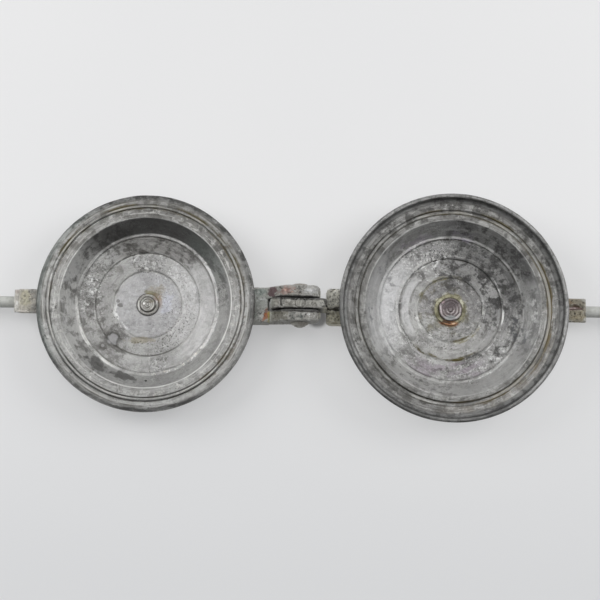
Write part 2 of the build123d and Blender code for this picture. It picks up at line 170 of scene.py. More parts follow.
def spun(name, corners, middle, axis, steps):
    """A closed profile of (radius, height, rounding) corners spun about an axis."""
    axis = Vector(axis)
    side = Vector((0, 0, 1)) if abs(axis.z) < 0.5 else Vector((1, 0, 0))
    piece = wire_profile(name, corners, lambda x, z: middle + side * x + axis * z)
    edit(
        piece,
        (bpy.ops.mesh.select_all, {"action": "SELECT"}),
        (bpy.ops.mesh.spin, {"steps": steps, "angle": 2 * pi, "center": middle, "axis": axis}),
    )
    finish_mesh(piece)
    return piece


def uneven(piece, size, depth, group=""):
    """Displaces a surface by clouds of the given size, up to half the depth each way."""
    texture = bpy.data.textures.new(f"{piece.name}_clouds", type="CLOUDS")
    texture.noise_scale = size * MM
    texture.noise_depth = 2
    only(piece)
    bump = piece.modifiers.new("Unevenness", "DISPLACE")
    bump.texture = texture
    bump.texture_coords = "LOCAL"
    bump.strength = depth * MM
    bump.mid_level = 0.5
    if group:
        bump.vertex_group = group
    bpy.ops.object.modifier_apply(modifier=bump.name)
    bpy.data.textures.remove(texture)


def keep_in_box(piece, node):
    """Keeps a rough skin between the lowest and highest point of the node that it stands for."""
    low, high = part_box(node)
    for vertex in piece.data.vertices:
        vertex.co.z = min(max(vertex.co.z, low[2]), high[2])


def stand_in(piece, nodes, body, material):
    """A new piece takes the place, the motion and the finish of CAD nodes."""
    piece.data.materials.clear()
    piece.data.materials.append(material)
    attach(piece, body)
    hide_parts(*nodes)


def finish_nodes(material, *names):
    """CAD nodes that keep their shape get a finish."""
    for name in names:
        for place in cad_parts[name].material_slots:
            place.material = material


# Finishes

def add(tree, kind, inputs=None, out=0, **settings):
    """Adds a shader node with its settings, and its inputs as values or links; gives an output."""
    node = tree.nodes.new("ShaderNode" + kind)
    for name, value in settings.items():
        setattr(node, name, value)
    for socket, value in (inputs or {}).items():
        if isinstance(value, bpy.types.NodeSocket):
            tree.links.new(value, node.inputs[socket])
        else:
            node.inputs[socket].default_value = value
    return node.outputs[out]


def new_finish(name, roughness=0.5, metallic=0.0):
    """A material with a shader whose uniform values are set on its own sockets."""
    material = bpy.data.materials.new(name)
    material.use_nodes = True
    shader = material.node_tree.nodes["Principled BSDF"]
    shader.inputs["Roughness"].default_value = roughness
    shader.inputs["Metallic"].default_value = metallic
    return material, material.node_tree, shader


def place_in_mm(tree, middle):
    """Place on the object in millimetres from a point."""
    place = add(tree, "TexCoord", out="Object")
    shift = tuple(-c / MM for c in middle)
    return add(tree, "Mapping", {"Vector": place, "Location": shift, "Scale": (1 / MM,) * 3})


def mottle(tree, place, size, low, high, detail=5.0, rough=0.6):
    """Cloudy patches of the given size in mm: 0 where the noise is under low, 1 over high."""
    waves = add(tree, "TexNoise", {
        "Vector": place, "Scale": 1 / size, "Detail": detail, "Roughness": rough})
    return add(tree, "MapRange", {"Value": waves, "From Min": low, "From Max": high})


def product(tree, *masks):
    """Where all the masks meet."""
    result = masks[0]
    for mask in masks[1:]:
        result = add(tree, "Math", {0: result, 1: mask}, operation="MULTIPLY")
    return result


def blot(tree, flat, edge, x, y, half_x, half_y, turn=0.0, ragged=0.6):
    """A patch of the given half sizes in mm, turned by degrees, with an edge that noise eats into; it
    serves for stains, painted shade and painted highlights.
    """
    near = add(tree, "Mapping", {
        "Vector": flat, "Location": (x, y, 0), "Rotation": (0, 0, radians(turn)),
        "Scale": (half_x, half_y, 1)}, vector_type="TEXTURE")
    away = add(tree, "VectorMath", {0: near}, out="Value", operation="LENGTH")
    away = add(tree, "Math", {0: edge, 1: ragged, 2: away}, operation="MULTIPLY_ADD")
    return add(tree, "MapRange", {
        "Value": away, "From Min": 0.8, "From Max": 1.25, "To Min": 1.0, "To Max": 0.0})


def ragged_edge(tree, place, grain):
    """Noise about zero that makes the edges of stains and of painted shade and highlights uneven."""
    waves = add(tree, "TexNoise", {"Vector": place, "Scale": 1 / grain, "Detail": 4.0})
    return add(tree, "MapRange", {
        "Value": waves, "From Min": 0.25, "From Max": 0.75, "To Min": -1.0, "To Max": 1.0})


def band(tree, radius, inner, outer, fade):
    """A ring of the dish between two radii in mm."""
    middle, half = (inner + outer) / 2, (outer - inner) / 2
    away = add(tree, "Math", {0: radius, 1: -middle}, operation="ADD")
    away = add(tree, "Math", {0: away}, operation="ABSOLUTE")
    return add(tree, "MapRange", {
        "Value": away, "From Min": half, "From Max": half + fade, "To Min": 1.0, "To Max": 0.0})


def sector(tree, around, clock, width, fade=18.0):
    """A sector about an hour of the clock as seen from above, width degrees each way."""
    turn = radians(90 - clock * 30)
    along = add(tree, "VectorMath", {0: around, 1: (cos(turn), sin(turn), 0)}, out="Value",
                operation="DOT_PRODUCT")
    return add(tree, "MapRange", {
        "Value": along, "From Min": cos(radians(min(width + fade, 180))),
        "From Max": cos(radians(width))})


def coats(tree, colour, layers):
    """Lays (mask, strength, hex colour) layers of dirt, wear, rust, painted shade and painted highlights
    over a colour.
    """
    for mask, strength, code in layers:
        amount = add(tree, "Math", {0: mask, 1: strength}, operation="MULTIPLY")
        colour = add(tree, "Mix", {0: amount, 6: colour, 7: linear(code)}, out=2, data_type="RGBA")
    return colour


def link_finish(tree, shader, colour, dull, height, depth):
    """Links a colour, a roughness and a relief, whose height of 1 is a depth in mm, to a shader."""
    bump = add(tree, "Bump", {"Height": height, "Distance": depth * MM})
    for output, name in ((colour, "Base Color"), (dull, "Roughness"), (bump, "Normal")):
        tree.links.new(output, shader.inputs[name])


def stain_and_painted_light_layers(tree, flat, edge, stains, textures):
    """Layers for coats from rows of stains and of painted shade and highlights, each cut by its texture
    where it has one.
    """
    layers = []
    for x, y, half_x, half_y, turn, ragged, texture, strength, code in stains:
        mask = blot(tree, flat, edge, x, y, half_x, half_y, turn, ragged)
        if texture:
            mask = product(tree, mask, textures[texture])
        layers.append((mask, strength, code))
    return layers


def dish_finish(name, middle, ground, rings, stains):
    """Pressed aluminium, dull with oxide and burnt grease.

    The eye sees cloudy grey with lilac and olive casts, fine lines that follow the spinning,
    clusters of pits a fraction of a millimetre wide, and dark grease in the grooves.
    ground holds the strengths and colours of the clouds and smears; rings and stains are the
    marks of the dish, with painted shade and painted highlights among the rings, as the tables below
    list them."""
    material, tree, shader = new_finish(name, metallic=0.6)
    place = place_in_mm(tree, middle)
    flat = add(tree, "VectorMath", {0: place, 1: (1, 1, 0)}, operation="MULTIPLY")
    radius = add(tree, "VectorMath", {0: flat}, out="Value", operation="LENGTH")
    around = add(tree, "VectorMath", {0: flat}, operation="NORMALIZE")
    # Two noises that follow the rings. At a radius of 45 mm one is 6 mm long and 0.5 mm wide, and
    # the other is 16 mm long and 3 mm wide
    follow = []
    for long, wide in ((6.0, 0.5), (16.0, 3.0)):
        turned = add(tree, "VectorMath", {0: around, 1: (45 / long, 45 / long, 0)}, operation="MULTIPLY")
        across = add(tree, "Math", {0: radius, 1: 1 / wide}, operation="MULTIPLY")
        lift = add(tree, "CombineXYZ", {"Z": across})
        follow.append(add(tree, "VectorMath", {0: turned, 1: lift}, operation="ADD"))
    streaks = mottle(tree, follow[0], 1.0, 0.4, 0.68, detail=3.0)
    smears = mottle(tree, follow[1], 1.0, 0.46, 0.58, detail=7.0, rough=0.65)
    clouds = mottle(tree, place, 15.0, 0.42, 0.62, detail=8.0, rough=0.62)
    blotches = mottle(tree, place, 5.5, 0.48, 0.58, detail=8.0, rough=0.66)
    grain = mottle(tree, place, 0.9, 0.35, 0.7, detail=3.0)
    clusters = mottle(tree, place, 12.0, 0.54, 0.62, detail=2.0)
    pits = mottle(tree, place, 0.95, 0.57, 0.62, detail=3.0)
    pit_clusters = product(tree, pits, clusters)
    sparks = mottle(tree, add(tree, "Mapping", {"Vector": place, "Location": (40, 7, 3)}),
                    1.1, 0.56, 0.64, detail=4.0)
    etched = mottle(tree, add(tree, "Mapping", {"Vector": place, "Location": (9, 31, 5)}),
                    2.6, 0.53, 0.58, detail=10.0, rough=0.72)
    edge = ragged_edge(tree, place, 3.5)
    textures = {
        "etched": etched, "streaks": streaks, "smears": smears, "blotches": blotches,
        "pits": pits, "sparks": sparks, "clouds": clouds}
    layers = [(mask, *tone) for mask, tone in zip((clouds, smears, blotches, streaks), ground)]
    layers += [(grain, 0.12, "#5c5a58"), (pit_clusters, 0.6, "#3d3b38"),
               (product(tree, etched, clusters), 0.4, "#dcdcda")]
    for inner, outer, fade, hour, width, texture, strength, code in rings:
        masks = [band(tree, radius, inner, outer, fade)]
        if hour:
            masks.append(sector(tree, around, hour, width))
        if texture:
            masks.append(textures[texture])
        layers.append((product(tree, *masks), strength, code))
    layers += stain_and_painted_light_layers(tree, flat, edge, stains, textures)
    colour = coats(tree, tuple(bpy.context.scene.pie_iron_colours.aluminium), layers)
    dull = add(tree, "MapRange", {"Value": blotches, "To Min": 0.4, "To Max": 0.56})
    dull = add(tree, "Math", {0: grain, 1: 0.12, 2: dull}, operation="MULTIPLY_ADD")
    height = grain
    for mask, share in ((streaks, 0.3), (pit_clusters, -1.5), (smears, 1.2), (etched, 0.4)):
        height = add(tree, "Math", {0: mask, 1: share, 2: height}, operation="MULTIPLY_ADD")
    link_finish(tree, shader, colour, dull, height, 0.1)
    return material


# Rings of wear and grease, and of painted shade and painted highlights: inner and outer radius and
# fade in mm, hour of the clock (0 for all round) and degrees each way, texture, strength, colour
RINGS_A = (
    (-1.0, 17.5, 1.5, 0, 0, "", 0.4, "#bcbbbd"),
    (5.9, 6.3, 0.5, 0, 0, "", 0.8, "#3f3c36"),
    (19.5, 38.0, 2.0, 2.8, 50, "", 0.4, "#cbcac9"),
    (19.5, 38.0, 2.0, 2.8, 50, "smears", 0.25, "#dad9d8"),
    (19.5, 39.0, 2.0, 8.4, 42, "blotches", 0.55, "#6d6b68"),
    (19.5, 38.0, 2.0, 8.6, 40, "", 0.22, "#6a6865"),
    # Painted light on the wall at nine o'clock, which faces the light
    (40.4, 46.6, 1.0, 8.8, 34, "", 0.3, "#c6c5c2"),
    # Painted shade on the floor band at twelve o'clock, which slopes away from the light, mottled by
    # blotches and smears
    (29.8, 38.2, 1.4, 12.3, 30, "", 0.5, "#57544f"),
    (30.5, 38.3, 1.4, 12.0, 40, "blotches", 0.6, "#3f3d3a"),
    (33.5, 38.0, 1.2, 12.9, 12, "smears", 0.7, "#4d4b47"),
    (20.0, 28.0, 1.5, 11.2, 36, "blotches", 0.4, "#6b6964"),
    (49.0, 57.0, 1.0, 12.4, 52, "", 0.36, "#55534f"),
    (47.6, 51.6, 0.6, 1.0, 34, "", 0.35, "#5a5854"),
    (48.0, 51.8, 0.5, 0, 0, "streaks", 0.35, "#6d6b65"),
    (48.0, 51.8, 0.5, 0, 0, "etched", 0.4, "#dbdad5"),
    (49.4, 49.9, 0.3, 0, 0, "smears", 0.5, "#d6d5d0"),
    (8.0, 17.5, 1.0, 2.6, 50, "pits", 0.5, "#6e6e72"),
    (8.0, 17.5, 1.0, 2.2, 50, "sparks", 0.4, "#e0e2e6"),
    (7.0, 17.8, 1.5, 8.0, 110, "streaks", 0.2, "#8f8e8c"),
    (49.0, 57.0, 1.0, 9.8, 34, "smears", 0.4, "#65635e"),
    (52.0, 57.0, 1.0, 0, 0, "smears", 0.3, "#5f5d58"),
    (48.0, 57.5, 1.0, 11.8, 60, "blotches", 0.5, "#5b5954"),
    (57.9, 61.5, 0.7, 0, 0, "", 0.25, "#4b4b49"),
    (57.4, 61.5, 0.7, 1.2, 58, "", 0.4, "#3b3b39"),
    (58.4, 61.5, 0.5, 0, 0, "etched", 0.45, "#c2c2be"),
    (58.2, 61.5, 0.7, 0, 0, "smears", 0.6, "#33332f"),
    (58.2, 61.5, 0.7, 12.3, 55, "blotches", 0.7, "#2f2f2c"),
    (57.5, 61.0, 1.0, 9.4, 34, "", 0.3, "#4f5c57"),
    (56.9, 57.3, 0.3, 0, 0, "smears", 0.7, "#5c5a53"),
    (56.0, 56.5, 0.3, 0, 0, "smears", 0.4, "#cfcec8"),
    (54.4, 54.8, 0.25, 0, 0, "smears", 0.5, "#45423a"),
    (54.3, 54.9, 0.3, 6.2, 50, "", 0.6, "#33312c"),
    (52.3, 52.6, 0.25, 0, 0, "smears", 0.5, "#45423a"),
    (52.2, 52.7, 0.3, 5.6, 60, "", 0.6, "#33312c"),
    (52.0, 55.2, 0.5, 11.8, 66, "smears", 0.7, "#625a3e"),
    (52.0, 55.6, 0.5, 3.2, 42, "blotches", 0.5, "#655a45"),
    (53.1, 53.9, 0.3, 0, 0, "smears", 0.6, "#cfcec8"),
    (47.9, 51.8, 0.6, 1.2, 26, "blotches", 0.6, "#62615e"),
    (47.7, 48.1, 0.3, 0, 0, "smears", 0.45, "#6f6e69"),
    (47.0, 47.4, 0.25, 4.0, 85, "", 0.7, "#e0e0dc"),
    (47.0, 47.4, 0.25, 9.6, 50, "smears", 0.9, "#e0e0dc"),
    # Painted shade on the wall from ten to twelve o'clock, which faces away from the light, broken by
    # clouds and blotches
    (40.4, 46.6, 0.9, 12.2, 38, "", 0.72, "#343433"),
    (40.4, 46.6, 1.2, 12.0, 44, "clouds", 0.4, "#5b5a57"),
    (40.4, 46.6, 0.9, 10.4, 22, "blotches", 0.75, "#454442"),
    (41.0, 46.0, 1.2, 1.75, 7, "", 0.4, "#88918b"),
    (40.5, 45.0, 1.2, 2.2, 12, "blotches", 0.6, "#5e5e5c"),
    (40.4, 46.4, 1.0, 8.4, 26, "blotches", 0.6, "#575551"),
    # Painted light, broken by smears, on the wall at half past nine
    (40.4, 46.4, 1.0, 9.4, 20, "smears", 0.5, "#bcbcba"),
    # Painted highlight along the rounded foot ring, broken by smears, etched spots and sparks
    (38.5, 39.7, 0.5, 2.4, 48, "smears", 0.8, "#dedddb"),
    (38.3, 40.0, 0.5, 3.4, 60, "etched", 0.8, "#e6e5e2"),
    (38.7, 39.5, 0.4, 5.0, 24, "sparks", 0.8, "#e2dccf"),
    (38.4, 39.8, 0.5, 8.0, 22, "smears", 0.9, "#e2e1dd"),
    (37.6, 38.2, 0.4, 0, 0, "smears", 0.6, "#615f5a"),
    (28.6, 29.0, 0.3, 6.6, 45, "", 0.6, "#57554f"),
    (28.6, 29.0, 0.3, 0, 0, "smears", 0.35, "#65625b"),
    (28.8, 29.6, 0.4, 1.0, 60, "etched", 0.7, "#d4d3cf"),
    (29.5, 30.0, 0.3, 0, 0, "smears", 0.5, "#cfcecb"),
    (18.6, 19.0, 0.3, 0, 0, "smears", 0.4, "#5c5a54"),
    (18.2, 19.4, 0.5, 4.2, 30, "pits", 0.7, "#55534d"),
    (18.0, 19.6, 0.5, 1.0, 40, "etched", 0.6, "#d4d3cf"),
    (19.5, 20.3, 0.4, 0, 0, "streaks", 0.4, "#d0cfcc"),
    (17.4, 19.4, 0.6, 8.1, 20, "smears", 0.9, "#e4e4e2"),
    (20.5, 28.0, 1.5, 12.8, 44, "pits", 0.5, "#605f5c"),
    (20.5, 29.0, 1.5, 2.2, 22, "sparks", 0.5, "#dfe0e2"),
    (26.0, 38.0, 1.5, 9.6, 20, "etched", 0.4, "#dcdcd9"),
    (28.0, 38.0, 1.5, 9.5, 18, "sparks", 0.4, "#e6e6e3"),
    (20.5, 28.2, 1.0, 1.4, 50, "etched", 0.45, "#e4e4e2"),
    (20.5, 28.2, 1.0, 5.6, 70, "pits", 0.4, "#5f5d58"),
    (26.0, 38.0, 1.5, 9.4, 30, "pits", 0.6, "#4d4b47"),
    (20.5, 38.0, 1.5, 7.4, 30, "etched", 0.35, "#bebdba"),
    (9.0, 17.5, 1.0, 0, 0, "etched", 0.25, "#c9cacc"),
    (21.0, 28.0, 1.5, 4.6, 24, "pits", 0.55, "#6b6964"),
)
RINGS_B = (
    (8.9, 18.0, 1.5, 1.2, 60, "", 0.35, "#5d5b5c"),
    (8.9, 28.0, 1.5, 12.6, 60, "blotches", 0.5, "#5a5857"),
    (10.0, 17.4, 1.0, 2.2, 26, "", 0.4, "#5d5b5b"),
    (9.0, 17.4, 1.0, 9.8, 30, "", 0.35, "#5f5b5e"),
    (9.0, 17.4, 1.0, 5.0, 24, "smears", 0.5, "#6f6d6a"),
    (30.5, 39.0, 1.0, 0, 0, "pits", 0.45, "#4f4d4a"),
    (30.5, 39.0, 1.0, 7.0, 130, "sparks", 0.4, "#e2e2df"),
    (41.5, 48.4, 0.8, 12.6, 50, "smears", 0.45, "#8f8f8e"),
    (41.5, 48.4, 0.8, 2.2, 12, "", 0.45, "#9a9a98"),
    (49.6, 52.0, 0.4, 0, 0, "etched", 0.4, "#cfcec9"),
    (52.2, 57.5, 0.5, 0, 0, "streaks", 0.35, "#45433f"),
    (55.4, 58.6, 0.5, 0, 0, "etched", 0.45, "#c9c8c3"),
    (58.8, 61.2, 0.4, 0, 0, "streaks", 0.45, "#a3a3a1"),
    (58.8, 61.2, 0.4, 0, 0, "blotches", 0.4, "#2f2f2e"),
    (8.9, 17.0, 1.5, 6.0, 40, "smears", 0.5, "#b9b8b6"),
    (19.5, 27.5, 1.5, 6.5, 60, "", 0.25, "#c2c1bd"),
    (29.5, 38.5, 1.5, 1.3, 26, "", 0.35, "#4e4d4c"),
    (58.8, 61.2, 0.6, 0, 0, "", 0.5, "#3f3f3e"),
    (58.8, 64.0, 0.6, 9.8, 50, "smears", 0.4, "#9b9b99"),
    (61.2, 64.5, 0.5, 0, 0, "", 0.35, "#5e5e5d"),
    (61.4, 62.2, 0.4, 0, 0, "smears", 0.6, "#b9b9b7"),
    (49.6, 58.9, 0.8, 0, 0, "smears", 0.55, "#5b5955"),
    (49.6, 58.9, 0.8, 0, 0, "", 0.16, "#4b4a46"),
    (50.0, 58.9, 0.8, 12.2, 60, "blotches", 0.6, "#4b4a48"),
    (51.5, 56.0, 0.8, 8.6, 70, "blotches", 0.45, "#4f4e4a"),
    (50.0, 56.5, 0.8, 8.8, 50, "", 0.3, "#4b4a47"),
    (61.0, 64.5, 0.5, 7.0, 60, "smears", 0.7, "#454543"),
    (61.0, 64.5, 0.5, 7.0, 60, "", 0.25, "#454543"),
    (61.0, 64.5, 0.5, 0, 0, "etched", 0.5, "#3f3f3d"),
    (55.2, 58.0, 0.8, 4.8, 30, "clouds", 0.5, "#7d7262"),
    (54.6, 55.0, 0.3, 0, 0, "smears", 0.8, "#3e3b32"),
    (52.4, 52.9, 0.3, 0, 0, "", 0.6, "#3e3b32"),
    (52.0, 55.4, 0.5, 1.5, 50, "smears", 0.7, "#5e553b"),
    (52.0, 55.8, 0.5, 4.4, 40, "smears", 0.65, "#675b3d"),
    (53.2, 54.2, 0.4, 0, 0, "smears", 0.5, "#c4c3be"),
    (49.6, 52.0, 0.5, 0, 0, "streaks", 0.4, "#72706b"),
    (48.8, 49.3, 0.25, 3.6, 90, "smears", 0.8, "#d4d4d1"),
    (48.8, 49.3, 0.25, 11.2, 70, "smears", 0.6, "#c9c9c6"),
    # Painted shade on the wall at twelve and one o'clock, which faces away from the light
    (41.5, 48.6, 0.9, 12.4, 30, "", 0.1, "#434342"),
    (41.5, 48.6, 0.9, 1.2, 14, "", 0.15, "#3c3c3b"),
    (41.5, 48.6, 0.9, 11.4, 30, "smears", 0.5, "#a9a9a8"),
    # Painted light on the wall at six o'clock, which faces the light
    (41.5, 48.6, 0.9, 5.8, 40, "", 0.25, "#cfcecb"),
    (30.5, 48.5, 2.0, 2.0, 50, "smears", 0.5, "#3f3e3d"),
    (19.5, 40.5, 2.0, 1.7, 46, "", 0.3, "#454544"),
    (19.5, 48.5, 2.0, 1.9, 52, "blotches", 0.65, "#3f3e3d"),
    # Painted light on the wall at six o'clock, which faces the light
    (41.5, 48.6, 1.2, 5.8, 44, "", 0.3, "#b5b4b1"),
    (41.5, 48.6, 0.9, 7.0, 26, "blotches", 0.5, "#5d5b58"),
    (40.7, 41.3, 0.4, 0, 0, "smears", 0.6, "#cbcac7"),
    (39.5, 40.1, 0.4, 0, 0, "smears", 0.7, "#4f4d49"),
    (44.6, 45.1, 0.5, 9.5, 80, "smears", 0.5, "#c0c0be"),
    # Painted highlights on the wall and floor at nine o'clock and on the wall at three o'clock
    (33.0, 47.0, 2.0, 9.0, 24, "", 0.45, "#d2d2d2"),
    (43.0, 48.0, 1.5, 3.1, 9, "blotches", 0.9, "#d2d2d0"),
    (29.8, 38.5, 1.5, 9.6, 18, "", 0.5, "#d2d2d2"),
    (29.6, 30.2, 0.3, 3.6, 40, "smears", 0.95, "#dededb"),
    (28.4, 29.1, 0.3, 0, 0, "smears", 0.55, "#4a4843"),
    (28.6, 29.8, 0.5, 9.6, 60, "etched", 0.7, "#d8d8d5"),
    (30.3, 30.9, 0.4, 10.0, 90, "smears", 0.6, "#cfcfcb"),
    (27.4, 29.4, 0.5, 6.2, 26, "smears", 0.95, "#5b5330"),
    # Painted highlight on the floor at nine o'clock
    (24.0, 27.0, 1.0, 9.2, 26, "", 0.5, "#d2d2d2"),
    (22.6, 23.2, 0.5, 0, 0, "smears", 0.5, "#6b6964"),
    (17.6, 18.2, 0.3, 0, 0, "smears", 0.55, "#4f4d45"),
    (18.0, 19.6, 0.6, 6.5, 60, "etched", 0.6, "#d8d8d5"),
    (8.7, 9.8, 0.5, 0, 0, "smears", 0.7, "#8b8768"),
    (8.7, 9.6, 0.5, 0, 0, "etched", 0.6, "#cfcdb9"),
    (8.6, 9.5, 0.25, 6.2, 26, "", 0.85, "#8a5a3a"),
    (18.6, 19.4, 0.4, 4.2, 40, "smears", 0.9, "#dadad6"),
    (18.6, 19.4, 0.4, 10.2, 50, "smears", 0.6, "#cfcfcb"),
    (17.4, 19.6, 0.5, 4.9, 22, "smears", 0.8, "#6b633c"),
    (17.4, 19.4, 0.5, 11.0, 36, "smears", 0.75, "#757050"),
    (13.2, 13.8, 0.4, 0, 0, "smears", 0.45, "#6b6964"),
    (30.0, 40.0, 1.5, 11.0, 20, "sparks", 0.6, "#d3d3d0"),
    (30.0, 39.0, 1.5, 12.2, 20, "pits", 0.6, "#4a4947"),
    (30.5, 39.0, 1.5, 6.1, 22, "smears", 0.6, "#8a8088"),
    (9.6, 17.4, 1.0, 0, 0, "etched", 0.35, "#c4c3be"),
    (9.6, 17.4, 1.0, 0, 0, "pits", 0.5, "#4b4946"),
    (14.0, 17.6, 0.8, 9.5, 60, "blotches", 0.35, "#7f7a5c"),
    (41.5, 48.4, 0.8, 0, 0, "etched", 0.3, "#a9a9a8"),
)
# Stains: place from the middle of the dish, half sizes in mm, turn in degrees, raggedness,
# texture, strength, colour
STAINS_A = (
    (3.4, 4.6, 6.4, 4.6, 35, 0.5, "", 0.45, "#857a58"),
    (1.0, 6.9, 3.2, 1.1, -8, 0.5, "", 0.6, "#6e6a4a"),
    (5.2, 4.9, 2.6, 1.2, -42, 0.5, "", 0.5, "#84715a"),
    (7.0, 1.6, 1.2, 3.4, 0, 0.5, "", 0.35, "#9c8270"),
    (10.5, 1.5, 3.2, 5.5, 0, 0.8, "", 0.35, "#c5c9d6"),
    (10.5, 4.5, 4.0, 5.5, 0, 0.8, "pits", 0.5, "#73757c"),
    (-4.0, -20.0, 7.5, 1.5, 0, 0.7, "", 0.45, "#857a57"),
    (-3.0, -21.3, 5.5, 0.7, 0, 0.6, "pits", 0.8, "#4d4937"),
    (6.5, -19.6, 5.0, 1.6, 20, 0.8, "pits", 0.7, "#5a5954"),
    (-19.0, -19.0, 4.6, 5.0, 0, 0.5, "", 0.75, "#4b4945"),
    (-19.0, -19.6, 2.6, 3.0, 0, 0.5, "", 0.9, "#a5a4a4"),
    (-24.5, -23.5, 2.4, 2.2, 0, 0.5, "", 0.7, "#504e4a"),
    (-24.2, -23.4, 1.1, 1.0, 0, 0.4, "", 0.8, "#a09f9e"),
    (-17.0, -25.0, 4.5, 1.1, -28, 0.6, "", 0.7, "#55534e"),
    (-26.5, -34.0, 6.0, 2.6, -40, 0.7, "", 0.7, "#484745"),
    (-12.0, -40.6, 6.0, 1.7, -18, 0.7, "", 0.7, "#474643"),
    (1.0, -43.0, 0.75, 0.6, 0, 0.2, "", 0.9, "#23211f"),
    (-15.4, -0.6, 1.7, 1.2, 0, 0.6, "", 0.7, "#54524e"),
    (-16.8, 1.6, 1.2, 0.9, 30, 0.6, "", 0.6, "#54524e"),
    (-9.5, 33.0, 4.5, 1.2, 4, 0.8, "", 0.7, "#45433f"),
    (-12.0, 30.6, 3.6, 0.9, 8, 0.8, "", 0.7, "#4b4945"),
    (-3.0, 29.6, 2.6, 0.7, 0, 0.8, "", 0.7, "#4b4945"),
    (-31.0, 9.5, 3.0, 5.5, 15, 0.9, "etched", 0.8, "#ececea"),
    (-29.5, 11.5, 2.4, 4.0, 25, 0.9, "sparks", 0.9, "#f4f4f2"),
    (-31.0, 1.0, 2.4, 7.0, 0, 0.9, "blotches", 0.5, "#6a6865"),
    (-30.0, -8.0, 5.0, 5.0, 0, 0.8, "blotches", 0.5, "#5f5d59"),
    (14.0, -4.5, 3.5, 2.2, 30, 0.8, "pits", 0.7, "#5b5955"),
    (13.0, -12.0, 4.0, 1.6, -50, 0.8, "pits", 0.7, "#5b5955"),
    (-17.0, -8.0, 2.2, 3.4, -30, 0.8, "pits", 0.7, "#5b5955"),
)
STAINS_B = (
    (0.0, 0.0, 12.0, 11.5, 0, 0.6, "blotches", 0.55, "#6f6a55"),
    (-1.0, -21.0, 5.0, 1.5, 0, 0.8, "pits", 0.8, "#4f4d48"),
    (-9.5, -20.0, 3.2, 2.4, 0, 0.9, "pits", 0.9, "#45433f"),
    (-11.0, 6.0, 3.5, 5.0, 20, 0.9, "blotches", 0.6, "#565355"),
    (-10.0, -2.0, 2.5, 5.0, 0, 0.8, "clouds", 0.5, "#8b8289"),
    (2.0, 14.0, 8.0, 3.5, -10, 0.9, "blotches", 0.6, "#4d4c4b"),
    (5.0, 25.0, 12.0, 6.0, -15, 0.9, "blotches", 0.6, "#434241"),
    (25.0, 14.0, 8.0, 12.0, 30, 0.9, "blotches", 0.6, "#3d3c3b"),
    (27.0, -24.0, 7.0, 3.5, 45, 0.9, "blotches", 0.75, "#464543"),
    (22.0, -32.0, 10.0, 5.0, 40, 0.9, "etched", 0.6, "#dededc"),
    (-12.0, 26.0, 9.0, 6.0, 40, 0.9, "etched", 0.7, "#e0e0de"),
    (-24.0, 30.0, 6.0, 9.0, -40, 0.9, "etched", 0.6, "#dededc"),
    (-4.0, 30.0, 10.0, 5.0, 0, 0.9, "pits", 0.7, "#454441"),
    (14.0, -25.0, 5.0, 2.4, 25, 0.9, "blotches", 0.7, "#4a4947"),
    (12.0, -41.0, 3.5, 1.6, 15, 0.8, "pits", 0.85, "#454441"),
    (-2.0, -34.0, 7.0, 1.2, 0, 0.9, "blotches", 0.6, "#5a5755"),
    (-25.0, -36.0, 7.0, 2.6, -38, 0.8, "blotches", 0.65, "#4f4e4b"),
    (-38.0, 20.0, 5.0, 12.0, 25, 0.8, "blotches", 0.45, "#6a6a6b"),
    (-20.0, 38.0, 8.0, 3.5, 28, 0.9, "blotches", 0.5, "#a9a2ab"),
    (8.0, 41.0, 6.0, 2.0, -10, 0.9, "smears", 0.6, "#9a94a0"),
    (38.0, -12.0, 4.0, 7.0, 10, 0.8, "blotches", 0.6, "#55575a"),
    (-44.0, -3.0, 2.2, 6.0, 0, 0.6, "blotches", 0.55, "#6a6c6e"),
)


